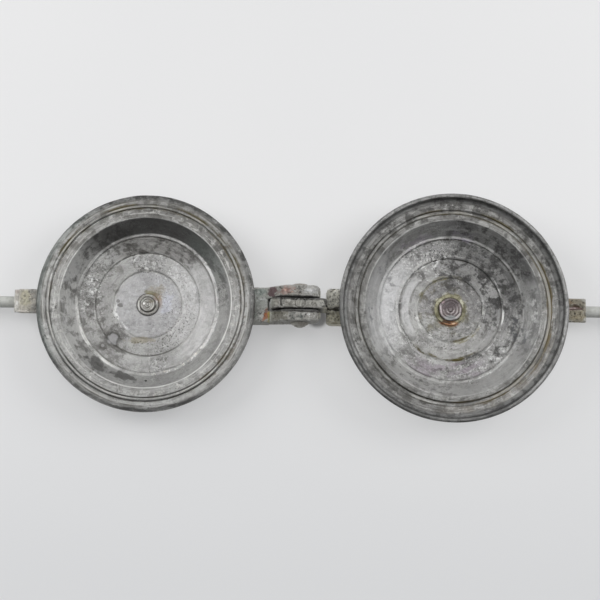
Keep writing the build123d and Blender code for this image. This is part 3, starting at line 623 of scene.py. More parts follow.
def make_dishes():
    """Both pressed dishes, each spun from its section and left slightly uneven."""
    sizes = bpy.context.scene.pie_iron_sizes
    rim, lip = sizes.rim_radius / MM, sizes.lip_radius / MM
    section_a = [
        (2.55, 8.6, 0), (18.4, 8.6, 0.4), (18.9, 8.45, 0.2), (19.5, 8.95, 0.3), (20.3, 9.15, 0.4),
        (28.5, 9.6, 0.2), (28.9, 9.45, 0.15), (29.5, 10.3, 0.3), (30.3, 10.5, 0.4),
        (38.1, 11.3, 0.3), (38.5, 12.0, 0.3), (39.4, 12.05, 0.35), (40.1, 12.1, 0.6),
        (47.0, 21.2, 0.25), (47.3, 21.4, 0.15), (52.2, 21.4, 0.2), (52.5, 21.1, 0.15),
        (52.75, 21.6, 0.2), (53.1, 22.1, 0.3), (53.8, 22.1, 0.3), (54.2, 21.6, 0.2), (54.55, 21.1, 0.15),
        (54.9, 21.4, 0.2), (rim, 21.4, 2.6), (rim, 18.2, 0.5), (rim - 1.6, 18.2, 0.5),
        (rim - 1.6, 19.8, 1.2), (47.99, 19.8, 1.5), (40.4, 9.9, 1.5), (30.5, 8.8, 0.4),
        (29.6, 8.05, 0.4), (20.5, 7.5, 0.4), (19.6, 7.0, 0.4), (2.55, 7.0, 0),
    ]
    section_b = [
        (2.55, 8.6, 0), (12.6, 8.6, 0.4), (13.4, 8.45, 0.4), (14.2, 8.65, 0.4), (17.5, 8.65, 0.4),
        (18.0, 8.42, 0.2), (18.6, 8.95, 0.3), (19.3, 9.12, 0.4),
        (28.3, 9.6, 0.2), (28.7, 9.4, 0.15), (29.3, 10.3, 0.3), (30.1, 10.45, 0.4),
        (39.8, 11.4, 0.3), (40.2, 12.0, 0.3), (41.0, 12.05, 0.35), (41.8, 12.0, 0.6),
        (48.8, 21.2, 0.25), (49.1, 21.4, 0.15), (52.1, 21.4, 0.2), (52.6, 20.7, 0.3),
        (53.2, 20.45, 0.3), (53.8, 20.5, 0.3), (54.4, 20.7, 0.3), (54.9, 21.4, 0.2),
        (lip - 2.4, 21.4, 2.2), (lip - 2.4, 25.4, 1.15), (lip, 25.4, 1.15), (lip, 23.6, 0.5),
        (lip - 0.8, 22.9, 0.4), (lip - 0.8, 19.8, 2.9), (54.9, 19.8, 0.3), (54.2, 19.1, 0.3),
        (52.7, 19.1, 0.3), (52.0, 19.8, 0.3), (49.79, 19.8, 1.5), (42.2, 9.9, 1.5), (31.3, 8.8, 0.4),
        (30.4, 8.05, 0.4), (19.6, 7.5, 0.4), (18.7, 7.0, 0.4), (2.55, 7.0, 0),
    ]
    ground_a = ((0.45, "#858482"), (0.4, "#a09f9f"), (0.3, "#7c7b77"), (0.25, "#7f7e7a"))
    ground_b = ((0.6, "#6a6967"), (0.5, "#a6a5a5"), (0.5, "#62615e"), (0.35, "#6e6d6a"))
    finish_a = dish_finish(
        "oxidised_pressed_aluminium_a", MIDDLE_A, ground_a, RINGS_A, STAINS_A)
    finish_b = dish_finish(
        "oxidised_pressed_aluminium_b", MIDDLE_B, ground_b, RINGS_B, STAINS_B)
    for section, middle, node, body, finish in (
        (section_a, MIDDLE_A, "dish_a", "half_a", finish_a),
        (section_b, MIDDLE_B, "dish_b", "half_b", finish_b),
    ):
        dish = spun(f"{node}_pressing", section, middle, (0, 0, 1), sizes.dish_steps)
        uneven(dish, 28.0, 0.35)
        uneven(dish, 5.0, 0.14)
        finish_mesh(dish, 50)
        stand_in(dish, [node], body, finish)


def casting_finish():
    """Weathered casting: grey skin with pale crust and worn edges, dark hollows and rust patches,
    painted shade in the hinge gaps and a painted highlight on the upper cheek.

    The eye sees a coarse sand-cast grain about a millimetre across under all of it."""
    material, tree, shader = new_finish("weathered_casting", metallic=0.3)
    place = place_in_mm(tree, HINGE)
    flat = add(tree, "VectorMath", {0: place, 1: (1, 1, 0)}, operation="MULTIPLY")
    clouds = mottle(tree, place, 6.0, 0.42, 0.6, detail=6.0, rough=0.65)
    grain = mottle(tree, place, 1.2, 0.38, 0.66)
    crust = mottle(tree, place, 2.2, 0.52, 0.58, detail=6.0, rough=0.7)
    pits = mottle(tree, place, 1.5, 0.58, 0.63, detail=3.0)
    pocks = mottle(tree, place, 1.1, 0.53, 0.57, detail=3.0)
    edge = ragged_edge(tree, place, 2.2)
    textures = {"crust": crust, "clouds": clouds, "pits": pits, "pocks": pocks}
    layers = [(clouds, 0.5, "#6b6a64"), (grain, 0.35, "#b0afa9"),
              (crust, 0.5, "#c4c3bc"), (pits, 0.8, "#3b3932")]
    bend = add(tree, "NewGeometry", out="Pointiness")
    worn = add(tree, "MapRange", {"Value": bend, "From Min": 0.51, "From Max": 0.57})
    hollow = add(tree, "MapRange", {"Value": bend, "From Min": 0.48, "From Max": 0.38})
    layers += stain_and_painted_light_layers(tree, flat, edge, HINGE_STAINS_AND_PAINTED_LIGHT, textures)
    layers += [(worn, 0.5, "#d0cfcb"), (hollow, 0.55, "#2f2d28")]
    colour = coats(tree, tuple(bpy.context.scene.pie_iron_colours.casting), layers)
    dull = add(tree, "MapRange", {"Value": grain, "To Min": 0.42, "To Max": 0.72})
    height = add(tree, "Math", {0: crust, 1: 0.6, 2: grain}, operation="MULTIPLY_ADD")
    height = add(tree, "Math", {0: pits, 1: -1.2, 2: height}, operation="MULTIPLY_ADD")
    link_finish(tree, shader, colour, dull, height, 0.25)
    return material


# Stains of the castings, from the hinge pin, laid out as those of the dishes; among them painted
# shade in the gaps between the hinge plates and a painted highlight on the upper cheek
HINGE_STAINS_AND_PAINTED_LIGHT = (
    (20.0, 4.5, 8.0, 7.5, 0, 0.3, "", 0.9, "#e6e4d8"),
    (20.0, 4.5, 6.5, 6.5, 0, 0.8, "pocks", 0.8, "#4d4a40"),
    (20.0, -6.0, 8.0, 5.4, 0, 0.3, "", 0.9, "#ebe6cf"),
    (20.6, -5.5, 3.0, 3.0, 0, 0.9, "", 0.3, "#6f6845"),
    (20.0, -6.0, 6.5, 5.0, 0, 0.8, "pocks", 0.8, "#484432"),
    (20.0, -6.0, 6.5, 5.0, 0, 0.8, "crust", 0.85, "#f0ecd8"),
    (20.0, -1.5, 7.0, 1.1, 0, 0.9, "", 0.9, "#2a2823"),
    (20.0, -1.0, 7.0, 1.2, 0, 0.9, "crust", 0.8, "#c4c1b4"),
    (-21.0, 0.0, 7.0, 10.5, 0, 0.5, "", 0.6, "#bcc0b9"),
    (-21.0, 3.0, 5.0, 6.5, 0, 0.8, "crust", 0.8, "#d6d8d6"),
    (-22.5, 6.0, 4.0, 4.0, 0, 0.8, "pocks", 0.6, "#5d645f"),
    (-22.0, 7.5, 3.0, 2.0, 0, 0.8, "", 0.6, "#7f8b84"),
    (-24.0, 5.0, 3.5, 4.0, 0, 0.8, "pits", 0.6, "#6f7672"),
    (-22.0, -6.0, 3.6, 3.8, 0, 0.9, "crust", 0.9, "#e2e2dd"),
    (-22.0, -5.4, 3.6, 3.4, 0, 0.9, "clouds", 0.6, "#e6e5e0"),
    (-21.5, -5.6, 4.2, 3.8, 0, 0.9, "pocks", 0.85, "#413f39"),
    (-23.5, 5.0, 2.4, 4.2, 0, 0.9, "crust", 0.8, "#dfe1de"),
    (-11.5, -6.6, 4.6, 3.2, 0, 0.8, "", 0.45, "#605b46"),
    (-13.0, -4.8, 2.4, 1.4, 0, 0.8, "", 0.5, "#5c5848"),
    (-18.4, -5.8, 1.6, 3.2, -14, 0.9, "", 0.7, "#9a5a3a"),
    (-18.9, -6.5, 0.9, 1.6, 0, 0.8, "clouds", 0.9, "#c0743f"),
    (-16.9, -6.2, 0.8, 3.2, 0, 0.7, "", 0.7, "#8f8e55"),
    (-17.2, -5.0, 0.5, 1.6, 0, 0.7, "clouds", 0.8, "#c9a13f"),
    (-15.2, 6.6, 2.3, 3.6, 0, 0.7, "", 0.85, "#56383e"),
    (-7.5, 6.4, 6.0, 2.4, 0, 0.9, "clouds", 0.6, "#8a776f"),
    (-8.2, 6.8, 4.4, 1.7, 12, 0.9, "clouds", 0.5, "#b8938a"),
    (-8.8, 6.8, 3.0, 1.3, 12, 0.9, "crust", 0.75, "#c9a294"),
    (-5.0, 6.0, 2.6, 1.3, -20, 0.9, "crust", 0.8, "#bd8d78"),
    (0.6, 6.3, 3.4, 2.4, 0, 0.9, "pocks", 0.75, "#4a4845"),
    # Painted highlight on the rounded top of the upper cheek, broken by crust
    (5.2, 7.0, 2.4, 1.6, 0, 0.9, "", 0.35, "#d2d2d1"),
    (5.6, 6.9, 2.6, 1.4, 0, 0.9, "crust", 0.8, "#ececeb"),
    (6.0, 6.6, 3.4, 2.2, 0, 0.9, "", 0.4, "#d6d6d5"),
    (5.0, 6.9, 1.3, 0.7, 0, 0.9, "", 0.5, "#eeeeed"),
    (-2.5, -6.5, 3.6, 2.4, 0, 0.8, "clouds", 0.8, "#4e5551"),
    (5.0, -6.8, 4.6, 1.8, 0, 0.9, "crust", 0.95, "#dadad8"),
    (-10.2, 0.0, 1.1, 3.4, 0, 0.9, "", 0.75, "#2b2823"),
    (0.0, 0.0, 11.0, 3.2, 0, 0.9, "", 0.3, "#bcb9b0"),
    (0.0, 0.0, 9.5, 2.9, 0, 0.9, "clouds", 0.5, "#5d5b55"),
    (-5.0, 0.4, 4.0, 2.0, 0, 0.9, "crust", 0.9, "#dddbd2"),
    (6.0, 0.2, 4.5, 1.8, 0, 0.9, "crust", 0.9, "#d6d4cb"),
    (6.0, 0.0, 4.5, 2.4, 0, 0.9, "pocks", 0.6, "#4f4c44"),
    (-5.0, 0.0, 3.5, 2.4, 0, 0.9, "pocks", 0.6, "#4f4c44"),
    (0.0, 0.0, 2.1, 2.1, 0, 0.4, "", 0.5, "#9b9991"),
    # Painted shade in the gaps between the cheeks and the leaf, wider than the gaps
    (-1.0, 2.8, 15.5, 1.3, -1, 0.25, "", 0.92, "#171512"),
    (-11.5, 2.9, 6.0, 1.2, 0, 0.25, "", 0.8, "#1d1b17"),
    (0.0, -3.8, 16.5, 1.3, -1, 0.25, "", 0.92, "#171512"),
    (-14.0, 0.0, 2.6, 2.6, 0, 0.6, "", 0.45, "#6f6b5e"),
    # Painted shadow in the notch where the leaf's end meets lug B
    (14.0, 1.0, 1.2, 2.4, 0, 0.6, "", 0.85, "#1d1b18"),
    (154.0, 0.0, 7.2, 8.0, 0, 0.3, "", 0.65, "#938a72"),
    (154.0, -2.5, 6.4, 4.0, 0, 0.9, "clouds", 0.6, "#a3977a"),
    (150.2, 4.5, 2.2, 2.6, 0, 0.8, "", 0.5, "#8b7355"),
    (157.5, 3.5, 2.6, 3.2, 0, 0.8, "clouds", 0.6, "#98978f"),
    (154.0, 0.0, 7.2, 8.0, 0, 0.5, "pits", 0.8, "#4b4432"),
    (153.2, 1.1, 5.0, 1.15, 0, 0.5, "", 0.8, "#5c4344"),
    (151.8, 1.3, 3.0, 0.32, 0, 0.3, "", 0.85, "#cdbcb8"),
    (154.8, 2.6, 1.8, 0.7, -18, 0.6, "", 0.7, "#54402f"),
    (153.6, -2.0, 0.6, 0.45, 0, 0.3, "", 0.85, "#2f2a22"),
    (151.0, -6.3, 0.5, 0.4, 0, 0.3, "", 0.85, "#35352b"),
    (-153.0, 0.0, 5.8, 8.0, 0, 0.3, "", 0.6, "#c4beb0"),
    (-152.0, 1.0, 2.6, 3.6, 0, 0.7, "", 0.5, "#b8b397"),
    (-150.0, 4.0, 2.2, 2.2, 0, 0.9, "pits", 0.9, "#5f5d57"),
    (-156.5, 0.0, 1.6, 8.0, 0, 0.5, "", 0.5, "#d2d0ca"),
    (-156.5, -1.5, 1.5, 5.5, 0, 0.8, "crust", 0.9, "#e8e7e2"),
    (-156.6, 5.6, 1.3, 1.3, 0, 0.5, "", 0.5, "#9c8d88"),
    (-152.6, -5.6, 2.2, 0.6, 0, 0.7, "", 0.6, "#dad4cc"),
)


def press(piece, wanted, shift):
    """Moves the vertices that pass a test, as a thumb or a file would."""
    for vertex in piece.data.vertices:
        if wanted(vertex.co):
            vertex.co += shift(vertex.co)


def ramp(value, start, end):
    """0 at start and beyond, 1 at end and beyond, and smooth between."""
    part = max(0.0, min(1.0, (value - start) / (end - start)))
    return part * part * (3 - 2 * part)


def lumps(co, size):
    """Noise of about -1 to 1 for a place, in lumps of the given size in mm."""
    return noise.noise(co / (size * MM))


def from_hinge(co):
    """A place along X and Y in mm from the hinge pin."""
    return (co.x - HINGE.x) / MM, co.y / MM


def within(co, span):
    """Whether a place is between two distances along X from the hinge pin, in mm."""
    return span[0] < from_hinge(co)[0] < span[1]


def draw_in_sockets(co):
    """The sockets' sides lean in towards the table, as a casting's do, but not under the dishes."""
    lean = 0.13 * (17.0 - co.z / MM) * ramp(abs(from_hinge(co)[0]), SOCKETS, SOCKETS_SEEN)
    return Vector((0, -lean * MM if co.y > 0 else lean * MM, 0))


def lengthen_socket_b(co):
    """The end of socket B reaches 2.2 mm further along its rod."""
    return Vector((2.2 * MM * ramp(from_hinge(co)[0], *SOCKET_B_END), 0, 0))


def round_corner(co, x, y, radius, way):
    """Pulls a corner in to a round about a point, in mm from the hinge pin.

    way and the sign of y give the side of the point, along X and Y, that the corner is on."""
    out_x, out_y = from_hinge(co)[0] - x, from_hinge(co)[1] - y
    away = (out_x * out_x + out_y * out_y) ** 0.5
    inside = out_y * y <= 0 or away <= radius or out_x * way <= 0
    return Vector() if inside else Vector((out_x, out_y, 0)) * (radius / away - 1) * MM


def mark_leaf(co):
    """Round casting mark and file mark across the top of the leaf, and its worn, dished middle."""
    x, y = from_hinge(co)
    ring = 1 - ramp(abs((x * x + y * y) ** 0.5 - 2.75 - 0.15 * lumps(co, 1.5)), 0.1, 0.55)
    across = 1 - ramp(abs(x - FILE_MARK + 0.5 * lumps(co, 1.5)), 0.2, 0.8)
    end = ramp(-x, -FILE_MARK, 11.4)
    dents = 0.25 * max(0.0, lumps(co, 1.6)) * ramp(x, FILE_MARK, -9.0) * (1 - ramp(x, 8.0, 11.0))
    return Vector((0, 0, -(0.5 * ring + 0.5 * across + 0.35 * end + dents) * MM))


def break_crust(co):
    """Ragged slit along the top of lug B, chipped edges and burnt-on crust either side of it."""
    x, y = from_hinge(co)
    slit = 1 - ramp(abs(y + 1.7 + 0.6 * lumps(co, 1.8)), 0.25, 0.85)
    slit = slit * (1.1 + 1.3 * lumps(co, 1.4))
    chips = ramp(abs(y), 7.0, 9.6) * ramp(lumps(co, 2.6), -0.1, 0.5) * 1.6
    crust = 0.75 * lumps(co, 1.7) + 0.45 * lumps(co, 0.9) - 0.5
    return Vector((0, 0, -(max(0.0, slit) + chips - crust) * MM))


def make_castings():
    """Both arms: a copy of the CAD casting, remeshed, softened, marked by wear and left uneven."""
    finish = casting_finish()
    grain = bpy.context.scene.pie_iron_sizes.casting_grain
    leaf_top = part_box("arm_b")[1][2] - 1.0 * MM
    lug_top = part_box("arm_b")[1][2] - 14.5 * MM
    for node, body in (("arm_a", "half_a"), ("arm_b", "half_b")):
        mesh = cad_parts[node].data.copy()
        arm = bpy.data.objects.new(f"{node}_casting", mesh)
        bpy.context.scene.collection.objects.link(arm)
        mesh.name = arm.name
        only(arm)
        bpy.ops.mesh.customdata_custom_splitnormals_clear()
        edit(arm, (bpy.ops.mesh.select_all, {"action": "SELECT"}),
             (bpy.ops.mesh.remove_doubles, {"threshold": 0.005 * MM}))
        skin = arm.modifiers.new("Cast skin", "REMESH")
        skin.mode = "VOXEL"
        skin.voxel_size = grain
        bpy.ops.object.modifier_apply(modifier=skin.name)
        soften = arm.modifiers.new("Worn edges", "SMOOTH")
        soften.factor = 0.5
        soften.iterations = 3
        bpy.ops.object.modifier_apply(modifier=soften.name)
        press(arm, lambda co: abs(from_hinge(co)[0]) > SOCKETS, draw_in_sockets)
        if node == "arm_a":
            for side in (1, -1):
                press(arm, lambda co: within(co, CHEEK_ENDS),
                      lambda co: round_corner(co, 8.5, 7.0 * side, 2.7, 1))
        else:
            press(arm, lambda co: from_hinge(co)[0] > SOCKET_B_END[0], lengthen_socket_b)
            for side, radius in ((1, 2.0), (-1, 3.0)):
                corner = 9.8 - radius
                press(arm, lambda co: within(co, LUG_B_FRONT) and abs(co.y) > 5 * MM,
                      lambda co: round_corner(co, 14.9 + radius, corner * side, radius, -1))
            pick(arm, lambda co: co.z > leaf_top and abs(co.x - HINGE.x) < 5 * MM)
            edit(arm, (bpy.ops.mesh.subdivide, {"number_cuts": 1}))
            press(arm, lambda co: co.z > leaf_top - 1.5 * MM, mark_leaf)
            press(arm, lambda co: co.z > lug_top and within(co, LUG_B_TOP), break_crust)
        uneven(arm, 9.0, 0.25)
        uneven(arm, 2.2, 0.22)
        keep_in_box(arm, node)
        finish_mesh(arm, 60)
        stand_in(arm, [node], body, finish)


def steel_finish(name, base, dark, spots, roughness, metallic=0.7):
    """Steel dulled by heat and handling: a clouded brown-grey skin, a fine grain and rust specks."""
    material, tree, shader = new_finish(name, metallic=metallic)
    place = place_in_mm(tree, HINGE)
    clouds = mottle(tree, place, 3.0, 0.38, 0.64)
    grain = mottle(tree, place, 0.7, 0.35, 0.7)
    specks = mottle(tree, place, 1.2, 0.6, 0.68)
    colour = coats(tree, linear(base), [(clouds, 0.6, dark), (grain, 0.2, dark), (specks, 0.5, spots)])
    dull = add(tree, "MapRange", {"Value": clouds, "To Min": roughness, "To Max": roughness + 0.2})
    link_finish(tree, shader, colour, dull, grain, 0.05)
    return material


def wood_finish():
    """Turned beech with worn varnish: rings and dark pores along the grip, and paler rubbed patches."""
    material, tree, shader = new_finish("worn_varnished_beech", roughness=0.42)
    place = place_in_mm(tree, HINGE)
    # Growth rings run along the grip, 2 mm apart, and wander a little
    along = add(tree, "Mapping", {"Vector": place, "Scale": (0.03, 1.0, 1.0)})
    rings = add(tree, "TexWave", {
        "Vector": along, "Scale": 0.17, "Distortion": 3.5, "Detail": 3.0, "Detail Scale": 0.6},
        out=1, wave_type="BANDS", bands_direction="DIAGONAL")
    pores = mottle(tree, add(tree, "Mapping", {"Vector": place, "Scale": (0.12, 2.2, 2.2)}),
                   1.0, 0.56, 0.66, detail=3.0)
    wear = mottle(tree, place, 14.0, 0.42, 0.62)
    colour = coats(tree, tuple(bpy.context.scene.pie_iron_colours.wood), [
        (rings, 0.55, "#7d4a26"), (wear, 0.4, "#b98a5a"), (pores, 0.6, "#4f2e18")])
    dull = add(tree, "MapRange", {"Value": wear, "To Min": 0.34, "To Max": 0.6})
    link_finish(tree, shader, colour, dull, pores, 0.08)
    return material


def rivet_finish(name, middle, base, dark, pale, edge_radius, grime, stains, pitch=1.05):
    """Rivet head and washer: turned and hammered steel in thin rings, with grime where they meet.

    The eye sees rings a pitch apart in mm, pale on their crests, and a dark line round the head."""
    material, tree, shader = new_finish(name, metallic=0.45)
    place = place_in_mm(tree, middle)
    flat = add(tree, "VectorMath", {0: place, 1: (1, 1, 0)}, operation="MULTIPLY")
    radius = add(tree, "VectorMath", {0: flat}, out="Value", operation="LENGTH")
    clouds = mottle(tree, place, 2.4, 0.42, 0.58)
    patches = mottle(tree, place, 4.5, 0.46, 0.58, detail=4.0)
    grain = mottle(tree, place, 0.8, 0.38, 0.66)
    edge = ragged_edge(tree, place, 2.0)
    wander = add(tree, "Math", {0: edge, 1: 0.22, 2: radius}, operation="MULTIPLY_ADD")
    turned = add(tree, "Math", {0: wander, 1: 2 * pi / pitch}, operation="MULTIPLY")
    turned = add(tree, "Math", {0: turned}, operation="SINE")
    crests = add(tree, "MapRange", {"Value": turned, "From Min": 0.35, "From Max": 0.95})
    valleys = add(tree, "MapRange", {"Value": turned, "From Min": -0.35, "From Max": -0.95})
    head = band(tree, radius, -1.0, edge_radius - 0.6, 0.3)
    layers = [
        (clouds, 0.55, dark), (grain, 0.25, pale),
        (product(tree, crests, head, patches), 0.65, pale), (product(tree, valleys, head), 0.6, dark),
        (band(tree, radius, edge_radius - 0.05, edge_radius + 0.3, 0.35), 0.85, grime),
    ]
    layers += stain_and_painted_light_layers(tree, flat, edge, stains, {})
    colour = coats(tree, linear(base), layers)
    dull = add(tree, "MapRange", {"Value": clouds, "To Min": 0.4, "To Max": 0.65})
    link_finish(tree, shader, colour, dull, grain, 0.12)
    return material


def make_hinge_pin():
    """Hinge pin: stepped domed head under the -Y cheek, wide flattened tail over the +Y cheek."""
    low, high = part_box("hinge_pin")
    middle = Vector(((low[0] + high[0]) / 2, 0.0, (low[2] + high[2]) / 2))
    corners = [
        (0.0, -12.9, 0), (1.6, -12.8, 0.4), (2.1, -12.4, 0.2), (2.9, -12.3, 0.3), (3.5, -11.7, 0.2),
        (4.2, -11.5, 0.3), (4.95, -10.7, 0.3), (4.95, -9.9, 0), (3.0, -9.9, 0), (3.0, 9.9, 0),
        (4.9, 9.9, 0), (4.9, 10.5, 0.3), (3.6, 11.2, 0.4), (0.0, 11.5, 0),
    ]
    pin = spun("hinge_pin_turning", corners, middle, (0, 1, 0), 64)
    uneven(pin, 2.5, 0.15)
    finish = steel_finish("hammered_hinge_steel", "#b0ada5", "#6b675f", "#7b5a42", 0.45, 0.5)
    stand_in(pin, ["hinge_pin"], "half_a", finish)


# Stains of the rivet heads and of dish B's washer, with painted highlights on rivet A, laid out as those
# of the dishes
RIVET_A_STAINS_AND_PAINTED_HIGHLIGHTS = (
    (1.9, 1.6, 1.6, 1.0, 0, 0.8, "", 0.5, "#7a6f55"),
    # Painted highlight on the head
    (-2.0, 0.4, 0.6, 0.6, 0, 0.4, "", 0.85, "#f2f1ee"),
    (0.4, 1.2, 1.6, 0.5, 0, 0.8, "", 0.7, "#57544d"),
    (0.6, -1.6, 1.2, 0.6, 20, 0.8, "", 0.6, "#5f5c55"),
    # Painted highlight arcs on the washer at either side
    (4.9, 1.6, 0.4, 1.8, -18, 0.6, "", 0.7, "#dfdcda"),
    (-4.9, -0.8, 0.35, 2.6, 8, 0.6, "", 0.7, "#dddcd8"),
    (4.0, 3.4, 1.3, 0.5, -45, 0.7, "", 0.5, "#7d5a50"),
)
STAINS_RIVET_B = (
    (0.5, 3.0, 5.0, 3.2, 0, 0.8, "", 0.5, "#51464a"),
    (0.0, -4.6, 3.6, 1.2, 0, 0.8, "", 0.6, "#a5aaa9"),
    (-5.5, 0.6, 0.5, 3.2, 8, 0.6, "", 0.7, "#cfc4c6"),
    (4.4, -3.6, 2.4, 0.6, 42, 0.6, "", 0.6, "#cfc9c6"),
    (-4.2, 4.0, 0.9, 0.6, 40, 0.5, "", 0.5, "#cfb5b8"),
)
STAINS_WASHER_B = (
    (6.8, 3.4, 0.6, 3.6, 26, 0.9, "", 0.65, "#cfcdbb"),
    (-6.2, 5.0, 1.6, 0.8, 40, 0.8, "", 0.6, "#c4c2ac"),
    (7.9, 0.5, 0.9, 2.2, 0, 0.8, "", 0.7, "#54503a"),
    (-7.2, -3.0, 1.0, 3.4, -20, 0.8, "", 0.5, "#6b6748"),
    (-0.6, -8.0, 5.6, 1.8, -6, 0.5, "", 0.85, "#7d5335"),
    (0.4, -8.0, 3.6, 0.9, -4, 0.9, "", 0.75, "#b08361"),
    (1.8, -7.8, 0.9, 0.6, 0, 0.6, "", 0.7, "#dcc0a2"),
    (-2.4, -7.1, 3.6, 0.6, -10, 0.7, "", 0.8, "#33241b"),
)


def make_rivets():
    """Centre rivets with ringed heads and peened tails, and the washers under their heads."""
    finish_a = rivet_finish(
        "hammered_rivet_steel", MIDDLE_A, "#a6a49e", "#6c6962", "#d8d8d4", 4.15, "#34312b",
        RIVET_A_STAINS_AND_PAINTED_HIGHLIGHTS)
    finish_b = rivet_finish(
        "heat_browned_rivet_steel", MIDDLE_B, "#766c6a", "#4b4243", "#d2cccb", 6.6, "#3a3328",
        STAINS_RIVET_B, pitch=1.7)
    washer_b = rivet_finish(
        "burnt_olive_washer", MIDDLE_B, "#8f8b70", "#4b4831", "#d2d0bb", 6.6, "#3b3626",
        STAINS_WASHER_B)
    tail = [(0.0, 0.6, 0), (2.2, 0.6, 0.4), (3.9, 1.9, 0.2), (2.5, 1.9, 0), (2.5, 9.8, 0)]
    head_a = [
        (4.1, 9.8, 0.15), (4.1, 11.2, 0.5), (3.2, 11.35, 0.2), (2.85, 10.95, 0.15),
        (2.4, 10.95, 0.15), (1.9, 11.25, 0.3), (0.9, 11.05, 0.3), (0.0, 11.3, 0),
    ]
    head_b = [
        (6.5, 9.8, 0.2), (6.5, 11.1, 0.5), (5.6, 11.35, 0.3), (4.9, 10.8, 0.25), (4.1, 11.2, 0.3),
        (3.4, 10.6, 0.25), (2.5, 11.05, 0.3), (1.7, 10.5, 0.25), (0.8, 11.1, 0.3), (0.0, 11.2, 0),
    ]
    for half, middle, head, outer, finish, washer_finish, washer_slot in (
        ("a", MIDDLE_A, head_a, 5.85, finish_a, finish_a, "rivet_steel"),
        ("b", MIDDLE_B, head_b, 8.9, finish_b, washer_b, "rusty_washer"),
    ):
        rivet = spun(f"rivet_{half}_turning", tail + head, middle, (0, 0, 1), 72)
        uneven(rivet, 2.5, 0.12)
        uneven(rivet, 1.3, 0.12)
        stand_in(rivet, [f"centre_rivet_{half}"], f"half_{half}", finish)
        ring = [
            (2.55, 8.6, 0), (outer, 8.6, 0.1), (outer, 9.7, 0.4), (outer - 0.8, 9.8, 0.2),
            (2.55, 9.8, 0),
        ]
        washer = spun(f"rivet_{half}_washer", ring, middle, (0, 0, 1), 72)
        uneven(washer, 2.5, 0.1)
        stand_in(washer, [f"rivet_washer_{half}"], f"half_{half}", washer_finish)


def make_small_metal():
    """Hinge pin and rod pins, and finishes of the burrs, rods, ferrules, butt washers and bail."""
    make_hinge_pin()
    pin_finish = steel_finish("worn_pin_steel", "#a5a19a", "#6d6862", "#7b5a42", 0.4)
    for half in ("a", "b"):
        low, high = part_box(f"rod_pin_{half}")
        middle = (Vector(low) + Vector(high)) / 2
        pin = spun(f"rod_pin_{half}_turning", [
            (0.0, -5.9, 0), (1.1, -5.8, 0.3), (1.5, -5.3, 0.2), (1.5, 5.3, 0.2), (1.1, 5.8, 0.3),
            (0.0, 5.9, 0)], middle, (0, 1, 0), 32)
        stand_in(pin, [f"rod_pin_{half}"], f"half_{half}", pin_finish)
    finish_nodes(steel_finish("heat_dulled_burr_steel", "#a49b96", "#756e6b", "#6f5b45", 0.42),
                 "rivet_burr_a", "rivet_burr_b")
    finish_nodes(steel_finish("dull_galvanised_rod", "#bcbdb8", "#a6a7a1", "#8c8a7e", 0.62, 0.15),
                 "handle_rod_a", "handle_rod_b")
    finish_nodes(steel_finish("bright_ferrule_steel", "#bdbbb6", "#8f8b84", "#7d6650", 0.28),
                 "ferrule_a", "ferrule_b", "butt_washer_a", "butt_washer_b")
    finish_nodes(steel_finish("drawn_bail_wire", "#a9a7a3", "#76736d", "#7a5c43", 0.35), "latch_bail")


def make_grips():
    """Finish of the turned grips."""
    finish_nodes(wood_finish(), "grip_a", "grip_b")


